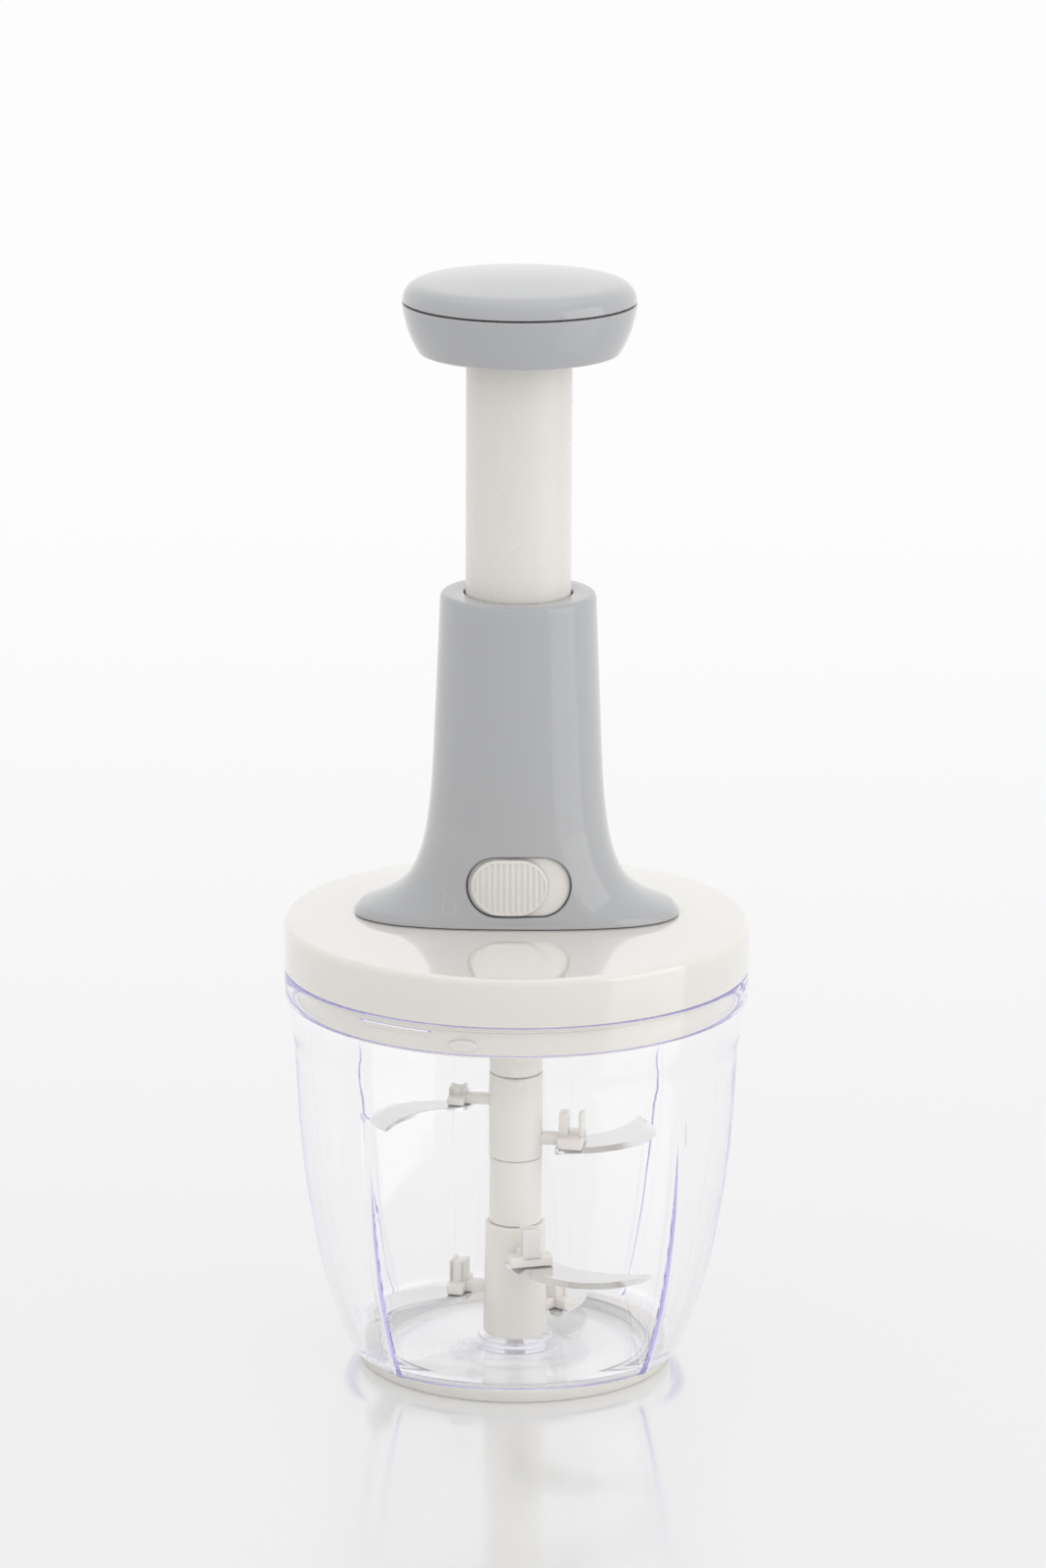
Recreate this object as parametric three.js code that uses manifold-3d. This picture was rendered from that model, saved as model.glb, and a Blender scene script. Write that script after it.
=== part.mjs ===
// Plunger food chopper: clear bowl, twist-on lid, push knob and five-blade spindle.
// Units are millimetres, +Z is up, the lock slider faces -Y, the base stands on z = 0.
import * as THREE from 'three';
import { mergeVertices } from 'three/addons/utils/BufferGeometryUtils.js';
import Module from 'manifold-3d';

const wasm = await Module();
wasm.setup();

// Angles and counts
const degree = Math.PI / 180;
const fullTurn = 2 * Math.PI;
const largeSegments = 36;
const mediumSegments = 28;
const columnSegments = 24;
const smallSegments = 16;
const tinySegments = 8;
const roundSteps = 2;
const curveSegments = 6;

// Clearances shared by all pieces
const seatGap = 0.25;
const runGap = 0.3;
const shaftGap = 0.45;
const cutOverrun = 1;
const joinOverlap = 0.4;

// Base ring
const ringHeight = 3.5;
const ringInset = 1;
const ringWidth = 5;
const ringChamfer = 0.5;

// Bowl
const bowlRimStep = 2.1;
const bowlRimDraft = 0.25;
const bowlFlareHeight = 14;
const bowlRimHeight = 8.2;
const bowlRimWall = 2.7;
const bowlRimRound = 0.5;
const bowlBodyRadius = 60.1;
const bowlBodyHeight = 97.7;
const bowlWall = 2.2;
const bowlWallGrowth = 0.8;
const bowlFloor = 1.7;
const bowlFloorRound = 2.2;
const bowlSquareness = 1.1;
const bowlRidgeHeight = 1.1;
const bowlRidgeHalfWidth = 1.3;
const bowlRidgeTopShare = 0.76;
const bowlRidgeAngles = [45, 135, 225, 315];
const bowlTurnAngle = 3;
const bowlLipWidth = 1.7;
const bowlLipDrop = 2;
const hubRingRadius = 9.95;
const hubRingHeight = 0.5;
const pivotBossRadius = 4.2;
const pivotBossHeight = 6.6;
const bowlOutlineShares = [
  [0, 0.719],
  [0.009, 0.742],
  [0.0235, 0.76],
  [0.085, 0.8],
  [0.167, 0.843],
  [0.269, 0.885],
  [0.392, 0.922],
  [0.535, 0.956],
  [0.679, 0.976],
  [1, 1],
];
const bowlFlareShares = [
  [0, 0],
  [0.3, 0.28],
  [0.65, 0.84],
  [1, 1],
];
const bowlInsideShares = [0.6, 0.25];
const bowlRidgeShares = [-1, 0, 1];

// Bayonet between bowl and lid
const bayonetCount = 3;
const rampStartAngle = -42;
const rampSweepAngle = 21;
const rampHeight = 1.7;
const rampDepth = 1.4;
const rampDrop = 2;
const bumpAngle = -13.3;
const bumpWidth = 7.6;
const bumpHeight = 3.2;

// Pivot pin
const pivotPinRadius = 2;
const pivotPinLength = 31;
const pivotPinChamfer = 0.6;
const pivotPinSink = 0.4;

// Inner lid
const plugGap = 2.3;
const plugWall = 1.8;
const plugDepth = 8.9;
const plugPlate = 1.5;
const wellWall = 1.6;
const wellFloor = 2;
const wellFloorDrop = 4.4;
const rodBore = 4.95;

// Seal ring
const sealHeight = 1.6;

// Lid cover
const coverProud = 0.2;
const coverWall = 2.1;
const coverSkirt = 11;
const coverShoulder = 1.9;
const crownHeight = 15.4;
const crownFall = 2.5;
const coverBoreGap = 0.8;
const crownShares = [0.66];

// Tower
const towerHeadroom = 16.65;
const towerTopRadius = 20.7;
const towerFootHalfWidth = 43.4;
const towerFootHalfDepth = 22.5;
const towerWall = 2;
const towerEdge = 1;
const towerTopRound = 1.4;
const towerFootPower = 2.3;
const towerTopPower = 2;
const towerPowerShare = 0.3;
const towerDepthShare = 0.3;
const towerFootInset = 2.8;
const towerWallSag = 0.3;
const towerFlareShares = [
  [0.018, 0.93],
  [0.03, 0.81],
  [0.045, 0.67],
  [0.062, 0.55],
  [0.085, 0.44],
  [0.114, 0.348],
  [0.155, 0.269],
  [0.212, 0.198],
  [0.293, 0.141],
  [0.409, 0.097],
  [0.641, 0.055],
];
const towerInsideShares = [0.409, 0.114, 0.03];
const bossRadius = 2.8;
const bossX = 23.5;
const bossY = 6.5;
const bossHeight = 11.3;
const bossBoreDepth = 8.2;

// Slot and lock slider
const slotWidth = 27.8;
const slotHeight = 16.3;
const slotCentreHeight = 11.1;
const slotOffset = 0.5;
const buttonWidth = 20.4;
const buttonHeight = 15.3;
const buttonThickness = 2.8;
const buttonProud = 0.5;
const buttonRestGap = 1.2;
const buttonCurveRadius = 35;
const ribCount = 12;
const ribPitch = 1.5;
const ribGroove = 0.6;
const ribGrooveDepth = 0.35;
const slideTravel = 5.8;
const stemWidth = 3;
const stemHeight = 3;
const stemFootHeight = 6;
const stemFootThickness = 0.9;
const toothGap = 0.65;
const toothCentreX = -7.5;
const toothLift = 0.5;
const retainerThickness = 0.8;
const retainerHalfWidth = 15.5;
const retainerHeight = 18.5;
const retainerSteps = 10;

// Guide tube
const guideWall = 1;
const guideFootLap = 0.9;
const guideLipHeight = 2;
const guideLipGap = 0.35;
const guideRailWidth = 2.4;

// Plunger tube
const stroke = 60;
const tubeRadius = 13.95;
const tubeWall = 2.5;
const tubeMouthWall = 1.65;
const tubeLength = 87.5;
const tubeFlangeWidth = 1.35;
const tubeFlangeHeight = 3;
const tubeTopPlate = 3;
const tubeBossRadius = 4.5;
const tubeBossDrop = 6;
const squashedSpace = 22.95;

// Knob
const knobRadius = 30.9;
const knobFootRadius = 26.9;
const knobFootDrop = 1.3;
const knobShellHeight = 13.2;
const knobPartingGap = 0.5;
const knobWall = 2.2;
const knobFootRound = 0.9;
const knobPlate = 2;
const knobSocketWall = 2;
const knobDiscRadius = 25.8;
const knobCapHeight = 5.1;
const knobCrownRise = 1.5;
const knobCapWall = 2;
const knobSkirtDrop = 3.4;
const knobSkirtWall = 1.5;
const knobInsideShares = [
  [1, 1],
  [0.46, 0.68],
];
const knobLowerShares = [
  [0.2, 0.36],
  [0.46, 0.68],
  [0.78, 0.92],
  [1, 1],
];
const knobUpperShares = [
  [0, 0.97],
  [0.36, 0.91],
  [0.7, 0.68],
  [0.92, 0.35],
  [1, 0],
];
const knobCrownShares = [0.7, 0.35];
const knobCeilingShare = 0.5;

// Rod, nut and springs
const rodWidth = 8;
const rodThickness = 3.6;
const rodLead = 32;
const rodTopGap = 3.5;
const rodStepsPerTurn = 16;
const rodFlangeRadius = 6.4;
const rodFlangeHeight = 1.4;
const rodShankRadius = 4.6;
const nutHeight = 8;
const nutStepsPerTurn = 32;
const seatWasherHeight = 1.1;
const springInset = 2.4;
const springWire = 0.65;
const springTurns = 7;
const springStepsPerTurn = 8;
const springSides = 5;
const clutchSpringRadius = 9.6;
const clutchSpringWire = 0.35;
const clutchSpringTurns = 2.5;

// Clutch
const clutchSideGap = 1;
const clutchCoverWall = 1.8;
const clutchCoverDepth = 14.7;
const clutchCoverFloor = 1.5;
const clutchFlangeHeight = 1.5;
const thrustWasherHeight = 0.6;
const thrustWasherBore = 5.6;
const thrustWasherRadius = 11;
const ratchetRadius = 12.2;
const ratchetToothBore = 7;
const ratchetTeeth = 6;
const ratchetToothHeight = 2;
const ratchetFaceAngle = 1;
const ratchetLagAngle = 2;
const driverHeight = 4;
const driverPlate = 1.2;
const socketFlangeHeight = 2;
const socketRadius = 7.15;
const socketBore = 5.4;
const socketBoreDepth = 10;
const socketLength = 15.5;
const splineWidth = 2;
const splineChamfer = 1;

// Screws
const screwShankRadius = 1.05;
const screwHeadRadius = 2;
const screwHeadHeight = 1.5;
const towerScrewLength = 9;
const coverScrewLength = 3.6;
const centreScrewRadius = 1.2;
const centreScrewHeadRadius = 3.4;
const centreScrewHeadHeight = 1.3;
const driveScrewLength = 5.5;
const driveScrewBoreDepth = 5.2;
const knobScrewLength = 9.6;

// Blade column
const hubFootGap = 0.65;
const lowerHubRadius = 8.6;
const lowerHubTopRadius = 8.1;
const lowerHubLength = 30.9;
const hubRecessGap = 1;
const hubRecessLift = 0.55;
const spacerRadius = 7.05;
const upperHubRadius = 7.25;
const upperHubLength = 23.6;
const hubEdge = 0.4;
const spindleRadius = 3.3;
const spindleHead = 6.4;
const dogCount = 3;
const dogGap = 0.5;
const dogWidth = 2.6;
const dogHeight = 4.5;

// Blades and their carriers
const armWidth = 4.2;
const armHeight = 2.8;
const holderReachShare = 0.37;
const holderDepth = 4.5;
const holderWidth = 11.6;
const postWidth = 5;
const postChannelWidth = 2;
const postChannelDepth = 3;
const frontPostHeight = 7.4;
const leftPostHeight = 5.9;
const backPostHeight = 6.7;
const upperPostHeight = 6.7;
const shortPostHeight = 2;
const pegRadius = 1.2;
const bladeWallGap = 1.1;
const bladeThickness = 1;
const bladeTailRise = 1.3;
const bladeTailGap = 0.3;
const bladeOutlineShares = [
  [0.277, -0.161],
  [0.345, -0.128],
  [0.404, -0.112],
  [0.473, -0.097],
  [0.582, -0.052],
  [0.695, 0.028],
  [0.785, 0.128],
  [0.842, 0.246],
  [0.865, 0.374],
  [0.851, 0.496],
  [0.8, 0.6],
  [0.722, 0.692],
  [0.702, 0.622],
  [0.671, 0.506],
  [0.615, 0.402],
  [0.539, 0.305],
  [0.44, 0.217],
  [0.345, 0.161],
  [0.293, 0.11],
  [0.274, 0],
  [0.262, -0.085],
];
const frontArmRise = 23.5;
const leftArmRise = 10.1;
const backArmRise = 3.3;
const leftArmDrop = 8.3;
const rightArmDrop = 19.9;

// Radii that follow from the sizes above
const bowlRimRadius = bowlBodyRadius + bowlRimStep;
const bowlRimBore = bowlRimRadius - bowlRimWall;
const ringRadius = bowlBodyRadius * bowlOutlineShares[0][1] - ringInset;
const coverRadius = bowlRimRadius + coverProud;
const plugRadius = bowlRimBore - plugGap;
const plugFlangeRadius = coverRadius - coverWall - runGap;
const tubeFlangeRadius = tubeRadius + tubeFlangeWidth;
const guideBore = tubeFlangeRadius + runGap;
const guideRadius = guideBore + guideWall;
const guideLipBore = tubeRadius + guideLipGap;
const guideRailReach = tubeRadius + shaftGap;
const towerBore = tubeRadius + shaftGap;
const coverBore = guideRadius + coverBoreGap;
const guideFootRadius = coverBore + guideFootLap;
const wellRadius = guideFootRadius + runGap;
const toothReach = tubeRadius + toothGap;
const nutRadius = tubeRadius - tubeMouthWall - runGap;
const springRadius = nutRadius - springInset;
const clutchCoverRadius = ratchetRadius + clutchSideGap + clutchCoverWall;
const coverScrewCircle = clutchCoverRadius + screwHeadRadius + runGap;
const clutchFlangeRadius = coverScrewCircle + screwHeadRadius + runGap;
const screwHoleRadius = screwShankRadius + runGap;
const centreScrewHole = centreScrewRadius + runGap;
const hubRecessRadius = pivotBossRadius + hubRecessGap;
const spindleBore = pivotPinRadius + runGap;
const dogReach = socketBore - dogGap;
const splineDepth = socketBore - spindleRadius - dogGap;
const bowlFootBore = bowlRadiusAt((bowlFloor + bowlFloorRound) / bowlBodyHeight) - bowlWall - bowlWallGrowth;
const bowlFlareStart = 1 - bowlFlareHeight / bowlBodyHeight;
const bladeReach = bowlFootBore - bladeWallGap;
const holderReach = bladeReach * holderReachShare;

// Heights that follow from the sizes above
const footHeight = ringHeight + seatGap;
const floorHeight = footHeight + bowlFloor;
const rimBottomHeight = footHeight + bowlBodyHeight;
const rimTopHeight = rimBottomHeight + bowlRimHeight;
const lidHeight = rimTopHeight + runGap;
const plateTopHeight = lidHeight + plugPlate;
const wellTopHeight = plateTopHeight - wellFloorDrop;
const wellBottomHeight = wellTopHeight - wellFloor;
const clutchTopHeight = wellBottomHeight - runGap;
const clutchBottomHeight = clutchTopHeight - clutchCoverDepth;
const driverTopHeight = wellBottomHeight - 2 * seatGap - thrustWasherHeight;
const driverBottomHeight = driverTopHeight - driverHeight;
const socketTopHeight = driverBottomHeight - ratchetToothHeight - shaftGap;
const socketFlangeBottom = socketTopHeight - socketFlangeHeight;
const socketBottomHeight = socketFlangeBottom - socketLength;
const upperHubTop = socketBottomHeight - runGap;
const upperHubBottom = upperHubTop - upperHubLength;
const hubFootHeight = floorHeight + hubRingHeight + hubFootGap;
const lowerHubTop = hubFootHeight + lowerHubLength;
const hubRecessTop = floorHeight + pivotBossHeight + hubRecessLift;
const pinBottomHeight = floorHeight - pivotPinSink;
const pinTopHeight = pinBottomHeight + pivotPinLength;
const tubeBottomHeight = wellTopHeight + stroke + squashedSpace;
const tubeTopHeight = tubeBottomHeight + tubeLength;
const lockedFlangeTop = tubeBottomHeight - stroke + tubeFlangeHeight;
const rodTopHeight = tubeTopHeight - tubeTopPlate - tubeBossDrop - stroke - rodTopGap;
const guideFloor = wellTopHeight + seatGap;
const guideTop = tubeBottomHeight + tubeFlangeHeight + runGap + guideLipHeight;
const towerHeight = guideTop + towerHeadroom - lidHeight - crownHeight;
const slotHeightCentre = lidHeight + crownHeight + slotCentreHeight;
const knobFootHeight = tubeTopHeight - knobFootDrop;
const knobPartingHeight = knobFootHeight + knobShellHeight;
const knobDiscHeight = knobPartingHeight + knobPartingGap + knobCapHeight;

// Blade arms, by the angle from the front toward the right and the height of the arm's underside
const lowerArms = [
  { name: 'blade_lower_1', angle: 15, height: hubFootHeight + frontArmRise, post: frontPostHeight },
  { name: 'blade_lower_2', angle: -105, height: hubFootHeight + leftArmRise, post: leftPostHeight },
  { name: 'blade_lower_3', angle: 135, height: hubFootHeight + backArmRise, post: backPostHeight },
];
const upperArms = [
  { name: 'blade_upper_1', angle: -98, height: upperHubTop - leftArmDrop, post: shortPostHeight },
  { name: 'blade_upper_2', angle: 82, height: upperHubTop - rightArmDrop, post: upperPostHeight },
];

// Turn a geometry into a closed, outward-facing, indexed one
function cleaned(geometry) {
  const bare = geometry.clone();
  bare.deleteAttribute('normal');
  bare.deleteAttribute('uv');
  const merged = mergeVertices(bare);
  const points = merged.attributes.position;
  const index = merged.index.array;
  const kept = [];
  let volume = 0;
  const [a, b, c] = [new THREE.Vector3(), new THREE.Vector3(), new THREE.Vector3()];
  for (let i = 0; i < index.length; i += 3) {
    const [p, q, r] = [index[i], index[i + 1], index[i + 2]];
    if (p === q || q === r || r === p) continue;
    kept.push([p, q, r]);
    a.fromBufferAttribute(points, p);
    b.fromBufferAttribute(points, q);
    c.fromBufferAttribute(points, r);
    volume += a.dot(b.cross(c));
  }
  const ordered = volume < 0 ? kept.map(([p, q, r]) => [p, r, q]) : kept;
  const result = new THREE.BufferGeometry();
  result.setAttribute('position', points);
  result.setIndex(ordered.flat());
  return result;
}

// Hand a geometry to the boolean library
function toSolid(geometry) {
  const tidy = cleaned(geometry);
  const mesh = new wasm.Mesh({
    numProp: 3,
    vertProperties: new Float32Array(tidy.attributes.position.array),
    triVerts: new Uint32Array(tidy.index.array),
  });
  return new wasm.Manifold(mesh);
}

// Take a geometry back from the boolean library
function fromSolid(solid) {
  const mesh = solid.getMesh();
  const result = new THREE.BufferGeometry();
  const positions = new Float32Array(mesh.vertProperties);
  result.setAttribute('position', new THREE.BufferAttribute(positions, 3));
  result.setIndex(Array.from(mesh.triVerts));
  return result;
}

// Join several geometries into one body
function joined(...geometries) {
  let solid = toSolid(geometries[0]);
  for (const other of geometries.slice(1)) solid = solid.add(toSolid(other));
  return fromSolid(solid);
}

// Cut several geometries out of the first one
function carved(base, ...tools) {
  let solid = toSolid(base);
  for (const tool of tools) solid = solid.subtract(toSolid(tool));
  return fromSolid(solid);
}

// Revolve a profile of [radius, height] points about the Z axis
function turned(profile, segments) {
  const points = profile.map(([radius, height]) => new THREE.Vector2(radius, height));
  const geometry = new THREE.LatheGeometry(points, segments);
  geometry.rotateX(Math.PI / 2);
  return cleaned(geometry);
}

// Points on an arc of a profile, between two angles in degrees
function arcPoints(centreRadius, centreHeight, radius, from, to) {
  return Array.from({ length: roundSteps + 1 }, (unused, i) => {
    const angle = (from + (to - from) * i / roundSteps) * degree;
    return [centreRadius + radius * Math.cos(angle), centreHeight + radius * Math.sin(angle)];
  });
}

// Solid cylinder between two heights
function disc(radius, bottom, top, segments = smallSegments) {
  return turned([[0, bottom], [radius, bottom], [radius, top], [0, top]], segments);
}

// Tube between two heights
function sleeve(bore, radius, bottom, top, segments = mediumSegments) {
  const profile = [[bore, bottom], [radius, bottom], [radius, top], [bore, top], [bore, bottom]];
  return turned(profile, segments);
}

// Box given by its ranges on the three axes
function block([x0, x1], [y0, y1], [z0, z1]) {
  const geometry = new THREE.BoxGeometry(x1 - x0, y1 - y0, z1 - z0);
  geometry.translate((x0 + x1) / 2, (y0 + y1) / 2, (z0 + z1) / 2);
  return geometry;
}

// Skin between rings of points; open ends are capped, or the last ring meets the first
function lofted(rings, capped) {
  const count = rings[0].length;
  const positions = rings.flat().flat();
  const index = [];
  const last = capped ? rings.length - 1 : rings.length;
  for (let k = 0; k < last; k += 1) {
    const here = k * count;
    const next = ((k + 1) % rings.length) * count;
    for (let i = 0; i < count; i += 1) {
      const j = (i + 1) % count;
      index.push(here + i, here + j, next + j, here + i, next + j, next + i);
    }
  }
  if (capped) {
    for (const [ring, flip] of [[0, true], [rings.length - 1, false]]) {
      const centre = rings[ring].reduce((sum, p) => sum.map((v, n) => v + p[n] / count), [0, 0, 0]);
      const middle = positions.length / 3;
      positions.push(...centre);
      for (let i = 0; i < count; i += 1) {
        const j = (i + 1) % count;
        const pair = flip ? [j, i] : [i, j];
        index.push(ring * count + pair[0], ring * count + pair[1], middle);
      }
    }
  }
  const geometry = new THREE.BufferGeometry();
  geometry.setAttribute('position', new THREE.Float32BufferAttribute(positions, 3));
  geometry.setIndex(index);
  return cleaned(geometry);
}

// Turn that brings the +X axis to an angle measured from the front toward the right
function facing(angle) {
  return (angle - 90) * degree;
}

// Flat outline made into a plate that starts at z = 0
function extruded(shape, depth) {
  return new THREE.ExtrudeGeometry(shape, { depth, bevelEnabled: false, curveSegments });
}

// Copy of a geometry turned about the Z axis
function spun(geometry, radians) {
  return geometry.clone().rotateZ(radians);
}

// Top surface of the lid at a distance from the axis
function crownAt(radius) {
  return lidHeight + crownHeight - crownFall * (radius / coverRadius) ** 2;
}

// Straight-line lookup in a table of [place, value] pairs
function lookUp(table, place) {
  const next = table.findIndex(([at]) => at >= place);
  if (next === -1) return table[table.length - 1][1];
  if (next === 0) return table[0][1];
  const [at0, value0] = table[next - 1];
  const [at1, value1] = table[next];
  return value0 + (value1 - value0) * (place - at0) / (at1 - at0);
}

// Bowl outer radius at a share of the body height
function bowlRadiusAt(share) {
  return bowlBodyRadius * lookUp(bowlOutlineShares, share);
}

// Half of the angle that a ridge takes up
function ridgeHalfAngle() {
  return bowlRidgeHalfWidth / (bowlBodyRadius * bowlOutlineShares[0][1]);
}

// Angles round the bowl, closer together at the ridges
function bowlAngles() {
  const half = ridgeHalfAngle();
  const ridges = bowlRidgeAngles.map((angle) => angle * degree);
  const step = fullTurn / largeSegments;
  const plain = Array.from({ length: largeSegments }, (unused, i) => i * step);
  const away = plain.filter((angle) => ridges.every((r) => Math.abs(angle - r) > half));
  const near = ridges.flatMap((r) => bowlRidgeShares.map((share) => r + share * half));
  return [...away, ...near].sort((p, q) => p - q);
}

// One ring of bowl points with its corner fullness and ridge height
function bowlRing(radius, height, square, ridge) {
  const half = ridgeHalfAngle();
  return bowlAngles().map((angle) => {
    const nearest = Math.min(...bowlRidgeAngles.map((r) => Math.abs(angle - r * degree)));
    const bump = Math.max(0, 1 - nearest / half);
    const corner = (1 - Math.cos(4 * angle)) / 2;
    const reach = radius + square * corner + ridge * Math.sqrt(bump);
    return [reach * Math.cos(angle), reach * Math.sin(angle), height];
  });
}

// Share of the corner fullness left at a share of the body height
function bowlFade(share) {
  return Math.max(0, 1 - share / bowlRidgeTopShare);
}

// Outer rings of the bowl body, ridges included
function bowlOutside() {
  const body = bowlOutlineShares.filter(([share]) => share < bowlFlareStart);
  return body.map(([share], i) => {
    const fade = bowlFade(share);
    const ridge = i === 0 ? 0 : bowlRidgeHeight * Math.sqrt(fade);
    return bowlRing(bowlRadiusAt(share), footHeight + share * bowlBodyHeight, bowlSquareness * fade, ridge);
  });
}

// Rings of the flare that leads from the body out to the rim
function bowlFlare() {
  const body = bowlRadiusAt(bowlFlareStart);
  const spread = bowlRimRadius - bowlRimDraft - body;
  return bowlFlareShares.map(([rise, out]) => {
    const height = rimBottomHeight - bowlFlareHeight * (1 - rise);
    return bowlRing(body + out * spread, height, 0, 0);
  });
}

// Rings round the rim, from its outer edge over the top to the step inside
function bowlRim() {
  return [
    [bowlRimRadius, rimTopHeight - bowlRimRound],
    [bowlRimRadius - bowlRimRound, rimTopHeight],
    [bowlRimBore, rimTopHeight],
    [bowlRimBore, rimBottomHeight + bowlRimRound],
    [bowlBodyRadius - bowlWall, rimBottomHeight],
  ].map(([radius, height]) => bowlRing(radius, height, 0, 0));
}

// Inner rings of the bowl, down the wall and round the floor corner
function bowlInside() {
  const wall = bowlInsideShares.map((share) => {
    const radius = bowlRadiusAt(share) - bowlWall - bowlWallGrowth * (1 - share);
    return bowlRing(radius, footHeight + share * bowlBodyHeight, bowlSquareness * bowlFade(share), 0);
  });
  const bend = bowlFootBore - bowlFloorRound;
  const corner = arcPoints(bend, floorHeight + bowlFloorRound, bowlFloorRound, 0, -90);
  return [...wall, ...corner.map(([radius, height]) => bowlRing(radius, height, bowlSquareness, 0))];
}

// Clear bowl with floor, corner ridges, rim, bayonet ramps and pivot boss
function makeBowl() {
  const rings = [...bowlOutside(), ...bowlFlare(), ...bowlRim(), ...bowlInside()];
  const shell = spun(lofted(rings, true), bowlTurnAngle * degree);
  const lipRadius = ringRadius - ringWidth - seatGap;
  const lipBottom = footHeight - bowlLipDrop;
  const lip = sleeve(lipRadius - bowlLipWidth, lipRadius, lipBottom, footHeight + joinOverlap);
  const hubRing = disc(hubRingRadius, floorHeight - joinOverlap, floorHeight + hubRingHeight);
  const boss = disc(pivotBossRadius, floorHeight - joinOverlap, floorHeight + pivotBossHeight);
  const ramps = Array.from({ length: bayonetCount }, (unused, i) => makeRamp(i));
  const body = joined(shell, lip, hubRing, boss, ...ramps);
  const pinHole = disc(
    pivotPinRadius + seatGap,
    pinBottomHeight - seatGap,
    floorHeight + pivotBossHeight + cutOverrun,
    tinySegments,
  );
  return carved(body, pinHole);
}

// Bayonet ramp inside the bowl rim
function makeRamp(index) {
  const start = facing(rampStartAngle + index * 360 / bayonetCount);
  const end = start + rampSweepAngle * degree;
  const shape = new THREE.Shape();
  const outer = bowlRimBore + joinOverlap;
  const inner = bowlRimBore - rampDepth;
  shape.absarc(0, 0, outer, start, end, false);
  shape.absarc(0, 0, inner, end, start, true);
  const geometry = extruded(shape, rampHeight);
  geometry.translate(0, 0, rimTopHeight - rampDrop - rampHeight);
  return geometry;
}

// Non-slip ring under the bowl
function makeBaseRing() {
  const bore = ringRadius - ringWidth;
  return turned([
    [bore, 0],
    [ringRadius - ringChamfer, 0],
    [ringRadius, ringChamfer],
    [ringRadius, ringHeight],
    [bore, ringHeight],
    [bore, 0],
  ], largeSegments);
}

// Steel pin that the blade spindle turns on
function makePivotPin() {
  return turned([
    [0, pinBottomHeight],
    [pivotPinRadius, pinBottomHeight],
    [pivotPinRadius, pinTopHeight - pivotPinChamfer],
    [pivotPinRadius - pivotPinChamfer, pinTopHeight],
    [0, pinTopHeight],
  ], tinySegments);
}

// Seal between plug and rim
function makeSealRing() {
  const top = lidHeight - runGap;
  return sleeve(plugRadius + seatGap, bowlRimBore - runGap, top - sealHeight, top, largeSegments);
}

// Oval bump that passes under a bayonet ramp
function makeBump(index) {
  const outline = new THREE.Shape();
  outline.absellipse(0, 0, bumpHeight / 2, bumpWidth / 2, 0, fullTurn);
  const reach = bowlRimBore - 2 * runGap;
  const depth = reach - plugRadius + plugWall / 2;
  const geometry = extruded(outline, depth);
  geometry.rotateY(-Math.PI / 2);
  const rampBottom = rimTopHeight - rampDrop - rampHeight;
  geometry.translate(reach, 0, rampBottom - runGap - bumpHeight / 2);
  return spun(geometry, facing(bumpAngle + index * 360 / bayonetCount));
}

// Plug that closes the bowl and carries the drive
function makeInnerLid() {
  const plateBottom = lidHeight;
  const body = turned([
    [rodBore, wellBottomHeight],
    [wellRadius + wellWall, wellBottomHeight],
    [wellRadius + wellWall, plateBottom],
    [plugRadius - plugWall, plateBottom],
    [plugRadius - plugWall, lidHeight - plugDepth],
    [plugRadius, lidHeight - plugDepth],
    [plugRadius, lidHeight],
    [plugFlangeRadius, lidHeight],
    [plugFlangeRadius, plateTopHeight],
    [wellRadius, plateTopHeight],
    [wellRadius, wellTopHeight],
    [rodBore, wellTopHeight],
    [rodBore, wellBottomHeight],
  ], largeSegments);
  const bumps = Array.from({ length: bayonetCount }, (unused, i) => makeBump(i));
  const holes = coverScrewAngles().map((angle) => {
    const [low, high] = [wellBottomHeight - cutOverrun, wellTopHeight + cutOverrun];
    const hole = disc(screwHoleRadius, low, high, tinySegments);
    hole.translate(coverScrewCircle, 0, 0);
    return spun(hole, angle);
  });
  return carved(joined(body, ...bumps), ...holes);
}

// Directions of the clutch cover screws
function coverScrewAngles() {
  return Array.from({ length: 3 }, (unused, i) => i * fullTurn / 3 + Math.PI / 2);
}

// Places of the screws that hold the tower
function towerScrewPlaces() {
  return [[1, 1], [-1, 1], [-1, -1], [1, -1]].map(([sx, sy]) => [sx * bossX, sy * bossY]);
}

// Shell of the lid that shows from outside
function makeLidCover() {
  const shoulderRadius = coverRadius - coverShoulder;
  const skirtTop = crownAt(shoulderRadius) - coverShoulder;
  const inner = plugFlangeRadius + runGap;
  const crown = crownShares.map((share) => [coverRadius * share, crownAt(coverRadius * share)]);
  const ceiling = [...crown].reverse().map(([radius, height]) => [radius, height - coverWall]);
  const body = turned([
    [inner, lidHeight],
    [coverRadius, lidHeight],
    ...arcPoints(shoulderRadius, skirtTop, coverShoulder, 0, 90),
    ...crown,
    [coverBore, crownAt(coverBore)],
    [coverBore, crownAt(coverBore) - coverWall],
    ...ceiling,
    [inner - coverShoulder, crownAt(shoulderRadius) - coverWall],
    [inner, skirtTop - coverShoulder],
    [inner, lidHeight],
  ], largeSegments);
  const holes = towerScrewPlaces().map(([x, y]) => {
    const middle = crownAt(Math.hypot(x, y));
    const hole = disc(screwHoleRadius, middle - coverWall - cutOverrun, middle + cutOverrun, tinySegments);
    return hole.translate(x, y, 0);
  });
  return carved(body, ...holes);
}

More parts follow.
